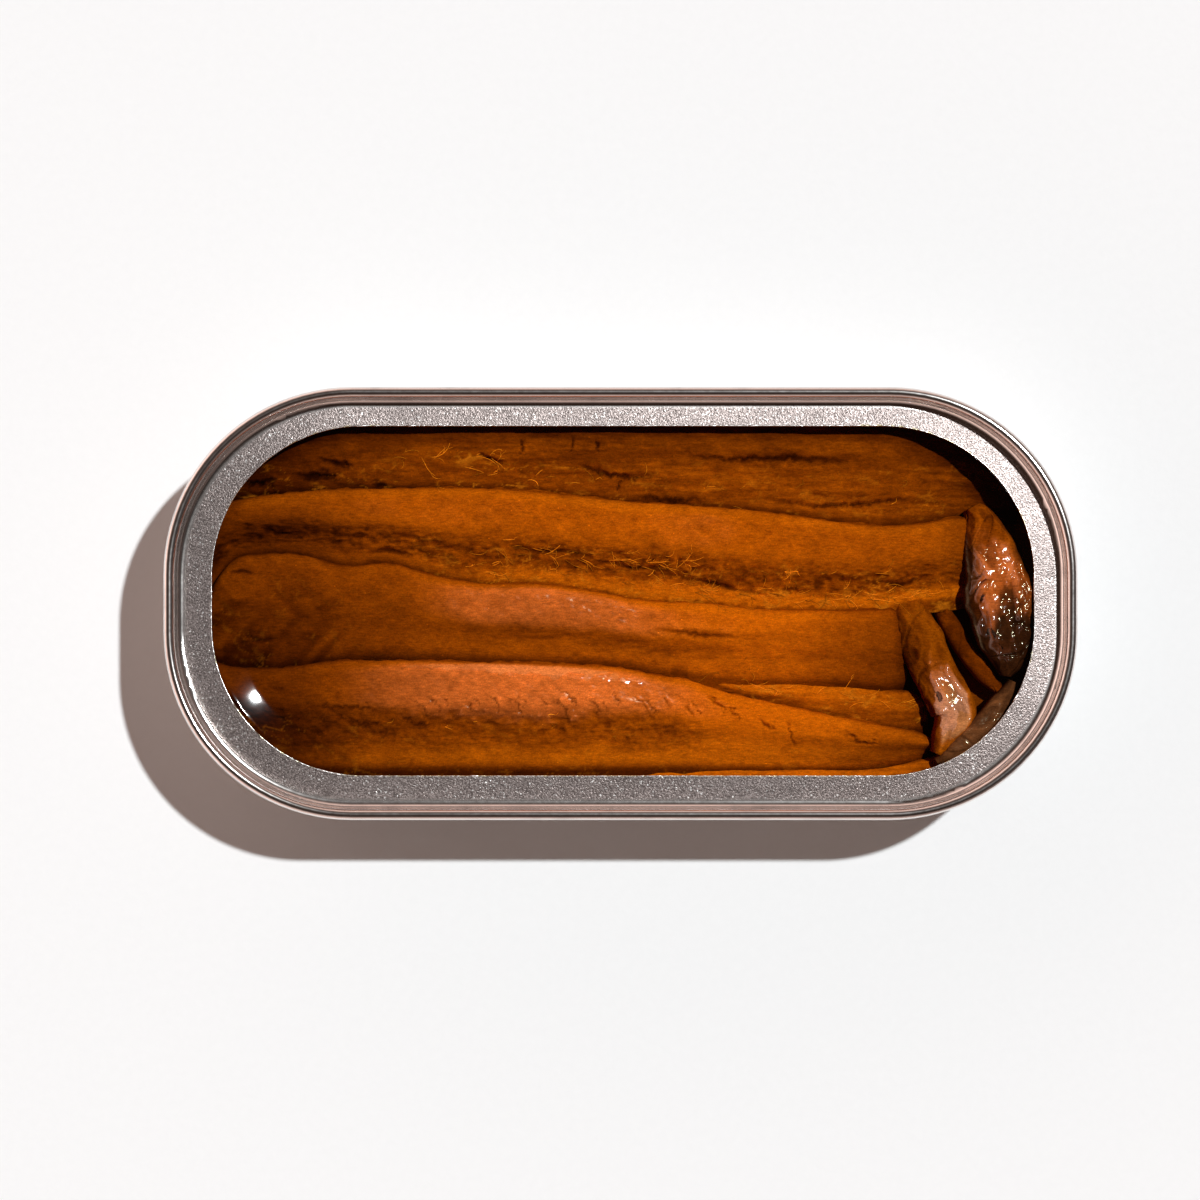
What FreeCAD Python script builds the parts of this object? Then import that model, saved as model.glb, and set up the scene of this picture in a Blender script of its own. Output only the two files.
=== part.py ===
import FreeCAD, Part
import math
import os
import Sketcher

# An opened tin of anchovies.  A drawn tin body of thin sheet stands on a ledge round a raised
# base.  The rest of its easy-open end is double-seamed to it: the peeled lid has left a narrow
# panel ring with a torn edge.  Anchovy fillets lie in the tin in rows, in oil.
#
# The frame: origin under the middle of the tin, on the surface it stands on.  +X runs along the
# tin, +Z up.  "Back" is +Y.  All sizes are millimetres, angles are degrees.

SIZES = {
    # The tin
    "can_length": 107.0,
    "can_width": 50.7,
    "can_height": 20.0,
    "end_straight": 6.7,
    "sheet_gauge": 0.22,
    # The double seam
    "seam_height": 3.0,
    "seam_gap": 0.04,
    "body_hook_length": 2.0,
    "cover_hook_length": 1.9,
    # The base
    "base_bend": 2.4,
    "base_ledge": 3.2,
    "base_rise": 0.6,
    # The end's remains inside the seam
    "panel_depth": 3.3,
    "chuck_bend": 1.1,
    "panel_rise": 0.25,
    "panel_reach": 6.0,
    "tear_in_from_ends": 5.1,
    "tear_in_from_sides": 4.75,
    "tear_end_straight": 5.6,
    "tear_shift_right": 0.3,
    "tear_shift_back": 0.3,
    # What is in the tin
    "oil_drop": 1.0,
    "layer_depth": 6.2,
    "wall_clearance": 0.5,
    "fillet_clearance": 0.45,
    "layer_clearance": 0.2,
    "fillet_least_width": 1.6,
    "fillet_end_round": 6.0,
    "layer_round": 3.0,
    "groove_radius": 4.0,
    "groove_depth": 1.2,
}

# The lines along which neighbouring fillets meet, from the back to the front.  Each gives the
# share of the tin's inner half width as a cubic in the share of its inner half length:
# middle, lean, bow and twist.
MEETING_LINES = {
    "back_upper": (0.50, -0.22, -0.04, 0.24),
    "upper_middle": (0.04, -0.26, 0.14, 0.21),
    "middle_front": (-0.33, -0.28, -0.25, 0.05),
    "middle_between": (-0.34, -0.11, 0.0, 0.0),
    "front_edge": (-0.79, 0.02, 0.19, -0.14),
}

# The fillets that lie lengthwise: the lines that bound each at its back and front ("wall" is the
# tin's wall), how far its right end stops from the tin's right wall, how high its back and
# front shoulders are over the oil, and a swell: its height, where along the tin it is highest
# and how long it is.
ROWS = {
    "fillet_back": ("wall", "back_upper", 0.0, -2.2, -3.0, (0.5, -12.0, 20.0)),
    "fillet_upper": ("back_upper", "upper_middle", 16.0, -1.1, -2.3, (0.3, -5.0, 30.0)),
    "fillet_middle": ("upper_middle", "middle_front", 20.5, -1.0, -2.3, (0.9, -10.0, 12.0)),
    "fillet_between": ("middle_between", "middle_front", 19.0, -2.5, -2.9, (0.3, 22.0, 9.0)),
    "fillet_front": ("middle_front", "front_edge", 16.4, -1.1, -2.2, (1.3, -7.0, 16.0)),
    "fillet_edge": ("front_edge", "wall", 12.0, -3.2, -3.7, (0.2, 0.0, 30.0)),
}

# The fillets that lie across the right end.  Each station along one gives its distance from the
# tin's right wall, its share of the inner half width, its half breadth and its height over
# the oil.
ACROSS = {
    "fillet_cross": [
        (18.7, -0.05, 1.8, -1.8),
        (16.9, -0.17, 2.5, -1.2),
        (15.6, -0.29, 2.7, -0.3),
        (14.1, -0.45, 2.4, 0.7),
        (14.0, -0.58, 1.8, 0.5),
        (14.8, -0.67, 0.8, -0.7),
    ],
    "fillet_under": [
        (14.3, 0.0, 1.2, -3.2),
        (12.4, -0.17, 1.3, -3.0),
        (11.0, -0.29, 1.3, -3.1),
        (9.9, -0.40, 1.3, -3.4),
    ],
    "folded_tail": [
        (12.6, 0.24, 3.6, -0.9),
        (10.4, 0.27, 2.8, 0.0),
        (8.9, 0.20, 2.9, 0.7),
        (8.4, 0.06, 3.5, 0.8),
        (7.8, -0.12, 3.2, 0.7),
        (7.1, -0.25, 2.0, 0.4),
        (6.8, -0.32, 1.0, -0.6),
    ],
}

# The sliver that follows the tin's front right corner.  Each station gives its direction from
# the corner's centre, its distance from the wall, its half breadth and its height over the oil.
SLIVER = [
    (-24.0, 2.9, 0.7, -1.3),
    (-32.5, 2.9, 1.7, -0.3),
    (-41.0, 2.9, 1.7, -0.3),
    (-49.5, 2.9, 1.7, -0.3),
    (-58.0, 2.9, 0.85, -1.5),
]

# A fillet's section: how far its edges bulge, as a share of its half depth; how far an edge's
# shoulder lies under the crest of a fillet that lies across; the height of the crown and the
# place and depth of the side line's dip, as shares of its half breadth and its depth.
EDGE_BULGE = 0.7
SHOULDER_DROP = 1.1
CROWN_SHARE = 0.15
CREST_AT = 0.4
SIDE_LINE_AT = -0.4
SIDE_LINE_DIP = 0.06

# How full a fillet stays at its very end, the number of sections along one, the share of a run
# over which its direction is taken, and the steps in which a fillet's end is looked for.
LEAST_END_SHARE = 0.45
STATIONS = 13
DIRECTION_SPAN = 0.03
END_STEP = 0.25

# How many fillets lie side by side in the lower layer.
LOWER_STRIPS = 4

doc = FreeCAD.newDocument("anchovy_tin")
sheet = doc.addObject("Spreadsheet::Sheet", "Sizes")
for row, (name, number) in enumerate(SIZES.items(), start=1):
    sheet.set(f"A{row}", name)
    sheet.set(f"B{row}", str(number))
    sheet.setAlias(f"B{row}", name)
doc.recompute()


class Length:
    """A number together with the expression that gives it from the sheet's cells."""

    def __init__(self, value, text):
        self.value = value
        self.text = text

    def __add__(self, other):
        other = as_length(other)
        return Length(self.value + other.value, f"({self.text} + {other.text})")

    def __sub__(self, other):
        other = as_length(other)
        return Length(self.value - other.value, f"({self.text} - {other.text})")

    def __mul__(self, factor):
        return Length(self.value * factor, f"({self.text} * {factor})")

    def __neg__(self):
        return self * -1

    __radd__ = __add__
    __rmul__ = __mul__


def as_length(number):
    """A bare number as a Length, and a Length as it is."""
    return number if isinstance(number, Length) else Length(number, str(number))


def size(name):
    """The sheet's cell of this name as a Length."""
    return Length(float(sheet.get(name)), f"Sizes.{name}")


# Places across the double seam, measured inward from its outer face.  From the outside in, it
# has the end's wall, the body hook, the cover hook, the body's wall and the chuck wall.
gauge = size("sheet_gauge")
layer_pitch = gauge + size("seam_gap")
end_wall_in = gauge
body_hook_out = layer_pitch
body_hook_in = layer_pitch + gauge
cover_hook_out = 2 * layer_pitch
cover_hook_in = 2 * layer_pitch + gauge
body_wall_out = 3 * layer_pitch
body_wall_in = 3 * layer_pitch + gauge
chuck_wall_out = 4 * layer_pitch
seam_thickness = 4 * layer_pitch + gauge

corner_radius = (size("can_width") - size("end_straight")) * 0.5

# Levels
top = size("can_height")
seam_foot = top - size("seam_height")
panel_top = top - size("panel_depth")
torn_edge_top = panel_top + size("panel_rise")
oil_level = torn_edge_top - size("oil_drop")
base_inner = size("base_rise") + gauge
layer_top = oil_level - size("layer_depth")


def new_body(name):
    """A PartDesign body whose label names its file."""
    body = doc.addObject("PartDesign::Body", name)
    body.Label = name
    body.Placement = FreeCAD.Placement()
    return body


def sketch_on(body, name, plane, level=None):
    """A sketch on one of the body's origin planes, raised to a level if one is given."""
    sketch = body.newObject("Sketcher::SketchObject", name)
    support = [f for f in body.Origin.OriginFeatures if f.Role == plane][0]
    sketch.AttachmentSupport = [(support, "")]
    sketch.MapMode = "FlatFace"
    if level is not None:
        sketch.setExpression("AttachmentOffset.Base.z", level.text)
    return sketch


def fix(sketch, kind, *place_and_length):
    """Adds one dimension to a sketch and binds it to the sheet."""
    *place, length = place_and_length
    index = sketch.addConstraint(Sketcher.Constraint(kind, *place, length.value))
    sketch.setExpression(f"Constraints[{index}]", length.text)


def vector(x, y):
    return FreeCAD.Vector(x, y, 0)


def rounded_rectangle(sketch, inset=None, outline=None):
    """Draws a rounded rectangle: the tin's outer outline moved inward by inset, or one of its
    own given as half length, half width, corner radius, and its centre's x and y.  The
    right-hand side is in two halves, so that a sweep can start at its middle."""
    if outline is None:
        outline = (
            size("can_length") * 0.5 - inset,
            size("can_width") * 0.5 - inset,
            corner_radius - inset,
            as_length(0.0),
            as_length(0.0),
        )
    half_x, half_y, corner, mid_x, mid_y = outline
    first = sketch.GeometryCount
    # The ends of the straight sides, in order round the outline from the right side's middle.
    inner_x = half_x - corner
    inner_y = half_y - corner
    path = [
        (half_x, as_length(0.0), None),
        (half_x, inner_y, (inner_x, inner_y, True)),
        (inner_x, half_y, None),
        (-inner_x, half_y, (-inner_x, inner_y, True)),
        (-half_x, inner_y, None),
        (-half_x, -inner_y, (-inner_x, -inner_y, False)),
        (-inner_x, -half_y, None),
        (inner_x, -half_y, (inner_x, -inner_y, False)),
        (half_x, -inner_y, None),
    ]
    path = [
        (mid_x + x, mid_y + y, centre and (mid_x + centre[0], mid_y + centre[1], centre[2]))
        for x, y, centre in path
    ]
    closed_loop(sketch, path, first)


def closed_loop(sketch, path, first=0):
    """Draws lines and round arcs through path, a list of (x, y, centre).  Where a line leaves
    the point, centre is None.  Where an arc does, it is the arc's centre as (x, y, over), and
    over says that a half circle passes above its centre.  Each point is bound to the sheet, and
    so is one coordinate of each arc's centre."""
    count = len(path)
    for index, (x, y, centre) in enumerate(path):
        next_x, next_y, _ = path[(index + 1) % count]
        start = vector(x.value, y.value)
        end = vector(next_x.value, next_y.value)
        if centre is None:
            sketch.addGeometry(Part.LineSegment(start, end), False)
        else:
            middle = vector(centre[0].value, centre[1].value)
            sketch.addGeometry(arc_between(start, end, middle, centre[2]), False)
    for index, (x, y, centre) in enumerate(path):
        here = first + index
        after = first + (index + 1) % count
        start_point = start_of(sketch, here, x, y)
        next_x, next_y, _ = path[(index + 1) % count]
        end_point = 3 - start_point
        next_start = start_of(sketch, after, next_x, next_y)
        sketch.addConstraint(Sketcher.Constraint("Coincident", here, end_point, after, next_start))
        fix(sketch, "DistanceX", here, start_point, x)
        fix(sketch, "DistanceY", here, start_point, y)
        if centre is not None:
            level_chord = abs(y.value - next_y.value) < 1e-9
            kind = "DistanceY" if level_chord else "DistanceX"
            fix(sketch, kind, here, 3, centre[1] if level_chord else centre[0])


def arc_between(start, end, middle, over):
    """The shorter arc about middle from start to end.  Of two half circles it is the one above
    the middle if over is true, and the one below it if not."""
    radius = (start - middle).Length
    first = math.atan2(start.y - middle.y, start.x - middle.x)
    last = math.atan2(end.y - middle.y, end.x - middle.x)
    turn = (last - first) % (2 * math.pi)
    anticlockwise = turn < math.pi
    if abs(turn - math.pi) < 1e-6:
        anticlockwise = (end.x < start.x) == over
    circle = Part.Circle(middle, FreeCAD.Vector(0, 0, 1), radius)
    if anticlockwise:
        return Part.ArcOfCircle(circle, first, first + turn)
    return Part.ArcOfCircle(circle, last, last + 2 * math.pi - turn)


def start_of(sketch, index, x, y):
    """Which end of a drawn edge lies at (x, y): 1 for its start, 2 for its end."""
    point = sketch.getPoint(index, 1)
    near = math.hypot(point.x - x.value, point.y - y.value) < 1e-6
    return 1 if near else 2


def pad(body, name, sketch, length, upward=True):
    """Pads a sketch by a length of the sheet."""
    feature = body.newObject("PartDesign::Pad", name)
    feature.Profile = sketch
    feature.Reversed = not upward
    feature.setExpression("Length", length.text)
    doc.recompute()
    return feature


def pocket(body, name, sketch, length, upward):
    """Cuts a sketch out of the body by a length of the sheet, and checks that it cut."""
    before = body.Shape.Volume
    feature = body.newObject("PartDesign::Pocket", name)
    feature.Profile = sketch
    feature.Reversed = upward
    feature.setExpression("Length", length.text)
    doc.recompute()
    if body.Shape.Volume >= before:
        raise RuntimeError(f"{name} cuts nothing")
    return feature


def round_edges(body, name, base, level, radius):
    """Fillets the edges of a feature that lie at this level."""
    edges = [
        f"Edge{number}"
        for number, edge in enumerate(base.Shape.Edges, start=1)
        if max(abs(vertex.Z - level.value) for vertex in edge.Vertexes) < 1e-4
    ]
    feature = body.newObject("PartDesign::Fillet", name)
    feature.Base = (base, edges)
    feature.setExpression("Radius", radius.text)
    doc.recompute()
    return feature


def sweep_round_tin(body, name, path):
    """Sweeps a closed profile, drawn where the tin's right side crosses the XZ plane, once
    round the tin's outer outline."""
    spine = sketch_on(body, f"{name}_route", "XY_Plane")
    rounded_rectangle(spine, inset=as_length(0.0))
    profile = sketch_on(body, f"{name}_profile", "XZ_Plane")
    closed_loop(profile, path)
    doc.recompute()
    feature = body.newObject("PartDesign::AdditivePipe", name)
    feature.Profile = profile
    feature.Spine = (spine, [f"Edge{n + 1}" for n in range(spine.GeometryCount)])
    doc.recompute()
    return feature


def across(inset):
    """The x of a place in the profile, given its distance in from the tin's outer face."""
    return size("can_length") * 0.5 - inset


def make_can_body():
    """The drawn body: a shell with a bent foot and a raised base, and the body hook that is
    turned out and down inside the double seam."""
    body = new_body("can_body")
    turn_centre = (body_hook_in + body_wall_out) * 0.5
    turn_radius = (body_wall_in - body_hook_out) * 0.5
    turn_level = top - gauge - size("seam_gap") - turn_radius

    outside = sketch_on(body, "body_outside", "XY_Plane")
    rounded_rectangle(outside, inset=body_wall_out)
    pad(body, "body_block", outside, turn_level)

    inside = sketch_on(body, "body_inside", "XY_Plane", level=turn_level)
    rounded_rectangle(inside, inset=body_wall_in)
    hollow = pocket(body, "body_hollow", inside, turn_level - gauge, upward=False)
    inner_foot = round_edges(body, "body_inner_foot", hollow, gauge, size("base_bend") - gauge)
    round_edges(body, "body_foot", inner_foot, as_length(0.0), size("base_bend"))

    raised = sketch_on(body, "base_raised", "XY_Plane", level=gauge)
    rounded_rectangle(raised, inset=body_wall_out + size("base_bend") + size("base_ledge") - gauge)
    pad(body, "base_plateau", raised, size("base_rise"))
    recess = sketch_on(body, "base_recess", "XY_Plane")
    rounded_rectangle(recess, inset=body_wall_out + size("base_bend") + size("base_ledge"))
    pocket(body, "base_underside", recess, size("base_rise"), upward=True)

    hook_foot = turn_level - size("body_hook_length")
    turn = (across(turn_centre), turn_level, True)
    sweep_round_tin(
        body,
        "body_hook",
        [
            (across(body_wall_in), turn_level, turn),
            (across(body_hook_out), turn_level, None),
            (across(body_hook_out), hook_foot, None),
            (across(body_hook_in), hook_foot, None),
            (across(body_hook_in), turn_level, turn),
            (across(body_wall_out), turn_level, None),
        ],
    )
    return body


def make_end_ring():
    """What is left of the easy-open end: the seaming panel with its curl tucked in as the cover
    hook, the chuck wall, its bend, and the narrow panel ring out to the torn edge."""
    body = new_body("end_ring")
    over_radius = seam_thickness * 0.5
    over_level = top - over_radius
    over = (across(over_radius), over_level, True)
    under_radius = cover_hook_in * 0.5
    under_level = seam_foot + under_radius
    under = (across(under_radius), under_level, False)
    hook_top = under_level + size("cover_hook_length")
    bend = size("chuck_bend")
    bend_top = panel_top + bend - gauge
    panel_from = seam_thickness + bend - gauge
    bend_centre = (across(panel_from), bend_top, False)
    panel_to = panel_from + size("panel_reach")
    panel_under = panel_top - gauge
    # The panel is swept about twice as far in as the torn edge, and so rises twice as much.
    rise = size("panel_rise") * 2
    sweep_round_tin(
        body,
        "end_profile",
        [
            (across(as_length(0.0)), over_level, over),
            (across(seam_thickness), over_level, None),
            (across(seam_thickness), bend_top, bend_centre),
            (across(panel_from), panel_top, None),
            (across(panel_to), panel_top + rise, None),
            (across(panel_to), panel_under + rise, None),
            (across(panel_from), panel_under, bend_centre),
            (across(chuck_wall_out), bend_top, None),
            (across(chuck_wall_out), over_level, over),
            (across(end_wall_in), over_level, None),
            (across(end_wall_in), under_level, under),
            (across(cover_hook_out), under_level, None),
            (across(cover_hook_out), hook_top, None),
            (across(cover_hook_in), hook_top, None),
            (across(cover_hook_in), under_level, under),
            (across(as_length(0.0)), under_level, None),
        ],
    )
    tear = sketch_on(body, "tear_line", "XY_Plane", level=top)
    rounded_rectangle(tear, outline=tear_outline())
    pocket(body, "tear", tear, size("panel_depth") + 2 * gauge, upward=False)
    return body


def tear_outline():
    """The torn edge's outline: half length, half width, corner radius and middle."""
    half_width = size("can_width") * 0.5 - size("tear_in_from_sides")
    return (
        size("can_length") * 0.5 - size("tear_in_from_ends"),
        half_width,
        half_width - size("tear_end_straight") * 0.5,
        size("tear_shift_right"),
        size("tear_shift_back"),
    )


# The room for the fillets: the tin's inner outline, moved inward by a clearance.
inner_half_x = (size("can_length") * 0.5 - body_wall_in).value
inner_half_y = (size("can_width") * 0.5 - body_wall_in).value
inner_corner = (corner_radius - body_wall_in).value
clear_of_wall = size("wall_clearance").value
between_fillets = size("fillet_clearance").value
fillet_floor = (layer_top + size("layer_clearance")).value


def wall_reach(x):
    """How far from the middle line a fillet may lie at x, clear of the tin's wall."""
    corner_from = inner_half_x - inner_corner
    beyond = max(0.0, abs(x) - corner_from)
    radius = inner_corner - clear_of_wall
    if beyond >= radius:
        return 0.0
    return inner_half_y - inner_corner + math.sqrt(radius**2 - beyond**2)


def meeting_line(name, x):
    """The y of a meeting line at x."""
    middle, lean, bow, twist = MEETING_LINES[name]
    share = x / inner_half_x
    return inner_half_y * (middle + lean * share + bow * share**2 + twist * share**3)


def row_edges(name, x):
    """The front and back edges of a lengthwise fillet at x."""
    behind, before = ROWS[name][:2]
    reach = wall_reach(x)
    back = reach if behind == "wall" else meeting_line(behind, x) - between_fillets / 2
    front = -reach if before == "wall" else meeting_line(before, x) + between_fillets / 2
    if name == "fillet_middle" and x > 0:
        front = max(front, meeting_line("middle_between", x) + between_fillets / 2)
    return max(front, -reach), min(back, reach)


def row_span(name):
    """Where a lengthwise fillet starts and ends: from its right end leftward, for as long as it
    is broad enough."""
    least = size("fillet_least_width").value

    def breadth(x):
        front, back = row_edges(name, x)
        return back - front

    end = inner_half_x - max(ROWS[name][2], clear_of_wall)
    while breadth(end) < least:
        end -= END_STEP
    start = end
    while breadth(start - END_STEP) >= least:
        start -= END_STEP
    return start, end


def section(middle, across_way, half_breadth, levels):
    """A closed outline square to a fillet's run: a flat underside, rounded edges, and a top
    that dips along its front half, where the fish's side line runs.  across_way points to its
    back edge; levels are its floor, front and back levels."""
    floor, front_level, back_level = levels
    bulge = EDGE_BULGE * min(half_breadth, (front_level - floor) / 2)
    shoulder = half_breadth - bulge

    def place(side, level):
        return middle + across_way * side + FreeCAD.Vector(0, 0, level)

    def crown(share):
        level = front_level + (back_level - front_level) * (share + 1) / 2
        return level + CROWN_SHARE * (level - floor) * (1 - share**2)

    dip = SIDE_LINE_DIP * (crown(SIDE_LINE_AT) - floor)
    top_points = [
        place(shoulder, back_level),
        place(CREST_AT * shoulder, crown(CREST_AT)),
        place(SIDE_LINE_AT * shoulder, crown(SIDE_LINE_AT) - dip),
        place(-shoulder, front_level),
    ]
    top_curve = Part.BSplineCurve()
    top_curve.interpolate(top_points)
    back_middle = place(half_breadth, (floor + back_level) / 2)
    front_middle = place(-half_breadth, (floor + front_level) / 2)
    back_foot = place(shoulder, floor)
    front_foot = place(-shoulder, floor)
    return Part.Wire(
        [
            Part.makeLine(front_foot, back_foot),
            Part.Arc(back_foot, back_middle, top_points[0]).toShape(),
            top_curve.toShape(),
            Part.Arc(top_points[-1], front_middle, front_foot).toShape(),
        ]
    )


def end_share(along, length, round_length):
    """How full a fillet is at a distance along it: rounded off towards both ends."""
    near = min(along, length - along)
    if near >= round_length:
        return 1.0
    missing = 1.0 - near / round_length
    return max(LEAST_END_SHARE, math.sqrt(1.0 - missing**2))


def row_outlines(name, open_right=False):
    """The outlines of a fillet that lies lengthwise between two meeting lines.  Its right end is
    rounded off like its left one, unless it runs on into something else."""
    _, _, _, back_over, front_over, (swell, swell_at, swell_length) = ROWS[name]
    start, end = row_span(name)
    outlines = []
    for index in range(STATIONS):
        # Stations crowd towards the ends, where the outline turns.
        x = (start + end) / 2 - (end - start) / 2 * math.cos(math.pi * index / (STATIONS - 1))
        front, back = row_edges(name, x)
        beyond = size("fillet_end_round").value if open_right else 0.0
        full = end_share(x - start, end - start + beyond, size("fillet_end_round").value)
        lift = swell * math.exp(-(((x - swell_at) / swell_length) ** 2))
        back_level = oil_level.value + back_over + lift
        front_level = oil_level.value + front_over + lift
        back_level = fillet_floor + (back_level - fillet_floor) * full
        front_level = fillet_floor + (front_level - fillet_floor) * full
        middle = FreeCAD.Vector(x, (front + back) / 2, 0)
        half = (back - front) / 2 * full
        way = FreeCAD.Vector(0, 1, 0)
        outlines.append(section(middle, way, half, (fillet_floor, front_level, back_level)))
    return outlines


def smooth_through(values, share):
    """The value at a share of the way through a short list, along a smooth curve."""
    place = share * (len(values) - 1)
    index = min(int(place), len(values) - 2)
    part = place - index
    before = values[max(index - 1, 0)]
    here = values[index]
    after = values[index + 1]
    beyond = values[min(index + 2, len(values) - 1)]
    return (
        here
        + 0.5 * part * (after - before)
        + part**2 * (before - 2.5 * here + 2 * after - 0.5 * beyond)
        + part**3 * (1.5 * (here - after) + 0.5 * (beyond - before))
    )


def run_outlines(route, half_breadths, over_oil):
    """The outlines of a fillet along a route of (x, y) places, with its half breadth and its
    height over the oil at each."""
    xs, ys = zip(*route)
    outlines = []
    for index in range(STATIONS):
        share = index / (STATIONS - 1)
        here = FreeCAD.Vector(smooth_through(xs, share), smooth_through(ys, share), 0)
        back = max(share - DIRECTION_SPAN, 0.0)
        ahead = min(share + DIRECTION_SPAN, 1.0)
        along = FreeCAD.Vector(
            smooth_through(xs, ahead) - smooth_through(xs, back),
            smooth_through(ys, ahead) - smooth_through(ys, back),
            0,
        ).normalize()
        way = FreeCAD.Vector(0, 0, 1).cross(along)
        half = smooth_through(half_breadths, share)
        shoulder = oil_level.value + smooth_through(over_oil, share) - SHOULDER_DROP
        outlines.append(section(here, way, half, (fillet_floor, shoulder, shoulder)))
    return outlines


def across_outlines(name):
    """The outlines of a fillet that lies across the tin's right end."""
    stations = ACROSS[name]
    route = [(inner_half_x - inward, share * inner_half_y) for inward, share, _, _ in stations]
    return run_outlines(route, [s[2] for s in stations], [s[3] for s in stations])


def sliver_outlines():
    """The outlines of the sliver along the tin's front right corner, concentric with it."""
    centre_x = inner_half_x - inner_corner
    centre_y = inner_corner - inner_half_y
    route = []
    for angle, inward, _, _ in SLIVER:
        turned = math.radians(angle)
        radius = inner_corner - inward
        route.append((centre_x + radius * math.cos(turned), centre_y + radius * math.sin(turned)))
    return run_outlines(route, [s[2] for s in SLIVER], [s[3] for s in SLIVER])


def make_fillet(name, outlines):
    """A fillet lofted through its outlines."""
    feature = doc.addObject("Part::Feature", name)
    feature.Label = name
    feature.Shape = Part.makeLoft(outlines, True, True)
    feature.Placement = FreeCAD.Placement()
    return feature


def make_lower_layer():
    """The packed fillets underneath, pressed into one mass: strips side by side, with a groove
    between one and the next."""
    body = new_body("lower_layer")
    floor = base_inner + size("layer_clearance")
    outline = sketch_on(body, "layer_outline", "XY_Plane", level=floor)
    rounded_rectangle(outline, inset=body_wall_in + size("wall_clearance"))
    block = pad(body, "layer_block", outline, layer_top - floor)
    round_edges(body, "layer_shoulder", block, layer_top, size("layer_round"))
    grooves = sketch_on(body, "layer_grooves", "YZ_Plane")
    pitch = (size("can_width") - 2 * body_wall_in) * (1 / LOWER_STRIPS)
    radius = size("groove_radius")
    middle_level = layer_top + radius - size("groove_depth")
    for place in range(1, LOWER_STRIPS):
        y = pitch * (place - LOWER_STRIPS / 2)
        upright = FreeCAD.Vector(0, 0, 1)
        circle = Part.Circle(vector(y.value, middle_level.value), upright, radius.value)
        index = grooves.addGeometry(circle, False)
        fix(grooves, "Radius", index, radius)
        fix(grooves, "DistanceX", index, 3, y)
        fix(grooves, "DistanceY", index, 3, middle_level)
    before = body.Shape.Volume
    feature = body.newObject("PartDesign::Pocket", "layer_furrows")
    feature.Profile = grooves
    feature.Midplane = True
    feature.setExpression("Length", (size("can_length") + radius).text)
    doc.recompute()
    if body.Shape.Volume >= before:
        raise RuntimeError("the lower layer has no furrows")
    return body


def make_oil(contents):
    """The oil: it fills the tin up to its level, round everything that lies in it."""
    body = new_body("oil_fill")
    inside = sketch_on(body, "fill_outline", "XY_Plane", level=gauge)
    rounded_rectangle(inside, inset=body_wall_in)
    block = pad(body, "fill_block", inside, oil_level - gauge)
    round_edges(body, "fill_foot", block, gauge, size("base_bend") - gauge)
    raised = sketch_on(body, "fill_plateau", "XY_Plane", level=gauge)
    rounded_rectangle(raised, inset=body_wall_out + size("base_bend") + size("base_ledge") - gauge)
    pocket(body, "fill_over_plateau", raised, size("base_rise"), upward=True)
    rest = body
    for thing in contents:
        cut = doc.addObject("Part::Cut", f"oil_round_{thing.Name}")
        cut.Base = rest
        cut.Tool = thing
        rest = cut
    doc.recompute()
    rest.Label = "oil"
    return rest


can_body = make_can_body()
end_ring = make_end_ring()
contents = []
for name in ROWS:
    if name == "fillet_upper":
        outlines = row_outlines(name, open_right=True) + across_outlines("folded_tail")
    else:
        outlines = row_outlines(name)
    contents.append(make_fillet(name, outlines))
contents.append(make_fillet("fillet_cross", across_outlines("fillet_cross")))
contents.append(make_fillet("fillet_under", across_outlines("fillet_under")))
contents.append(make_fillet("fillet_sliver", sliver_outlines()))
contents.append(make_lower_layer())
oil = make_oil(contents)

sub_parts = [can_body, end_ring, *contents, oil]
doc.recompute()
for thing in doc.Objects:
    if {"Invalid", "Error"} & set(thing.State):
        raise RuntimeError(f"{thing.Name} did not build: {thing.State}")
for thing in sub_parts:
    shape = thing.Shape
    print(thing.Label, shape.isValid(), len(shape.Solids), f"{shape.Volume:.1f} mm3")
    if shape.isNull() or not shape.isValid() or len(shape.Solids) != 1:
        raise RuntimeError(f"{thing.Label} is not one sound solid")

os.makedirs("parts", exist_ok=True)
for thing in sub_parts:
    thing.Shape.exportStep(f"parts/{thing.Label}.step")
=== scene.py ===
from math import copysign, cos, hypot, pi, radians, sin, tan

import bpy
import numpy as np
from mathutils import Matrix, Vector
from mathutils.bvhtree import BVHTree


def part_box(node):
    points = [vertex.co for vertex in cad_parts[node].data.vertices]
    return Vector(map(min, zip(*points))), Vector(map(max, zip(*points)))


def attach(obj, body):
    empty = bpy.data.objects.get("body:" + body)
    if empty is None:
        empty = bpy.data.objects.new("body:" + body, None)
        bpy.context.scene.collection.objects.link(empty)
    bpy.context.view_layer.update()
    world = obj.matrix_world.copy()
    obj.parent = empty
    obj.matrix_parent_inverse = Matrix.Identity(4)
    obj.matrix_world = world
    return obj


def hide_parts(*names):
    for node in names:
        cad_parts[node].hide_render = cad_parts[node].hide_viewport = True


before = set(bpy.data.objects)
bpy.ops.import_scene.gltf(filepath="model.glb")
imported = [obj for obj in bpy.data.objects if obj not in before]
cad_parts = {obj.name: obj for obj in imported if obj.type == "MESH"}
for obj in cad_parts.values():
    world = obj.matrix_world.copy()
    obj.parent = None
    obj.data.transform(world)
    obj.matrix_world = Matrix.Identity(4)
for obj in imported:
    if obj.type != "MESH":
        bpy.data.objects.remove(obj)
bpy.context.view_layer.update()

# Everything below is worked out in millimetres and made in metres.
MM = 0.001
OIL_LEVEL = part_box("oil")[1].z / MM
TIN_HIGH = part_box("end_ring")[1]
HALF_X, HALF_Y = TIN_HIGH.x / MM, TIN_HIGH.y / MM
CORNER = 22.0            # corner radius of the tin's outer outline
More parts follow.
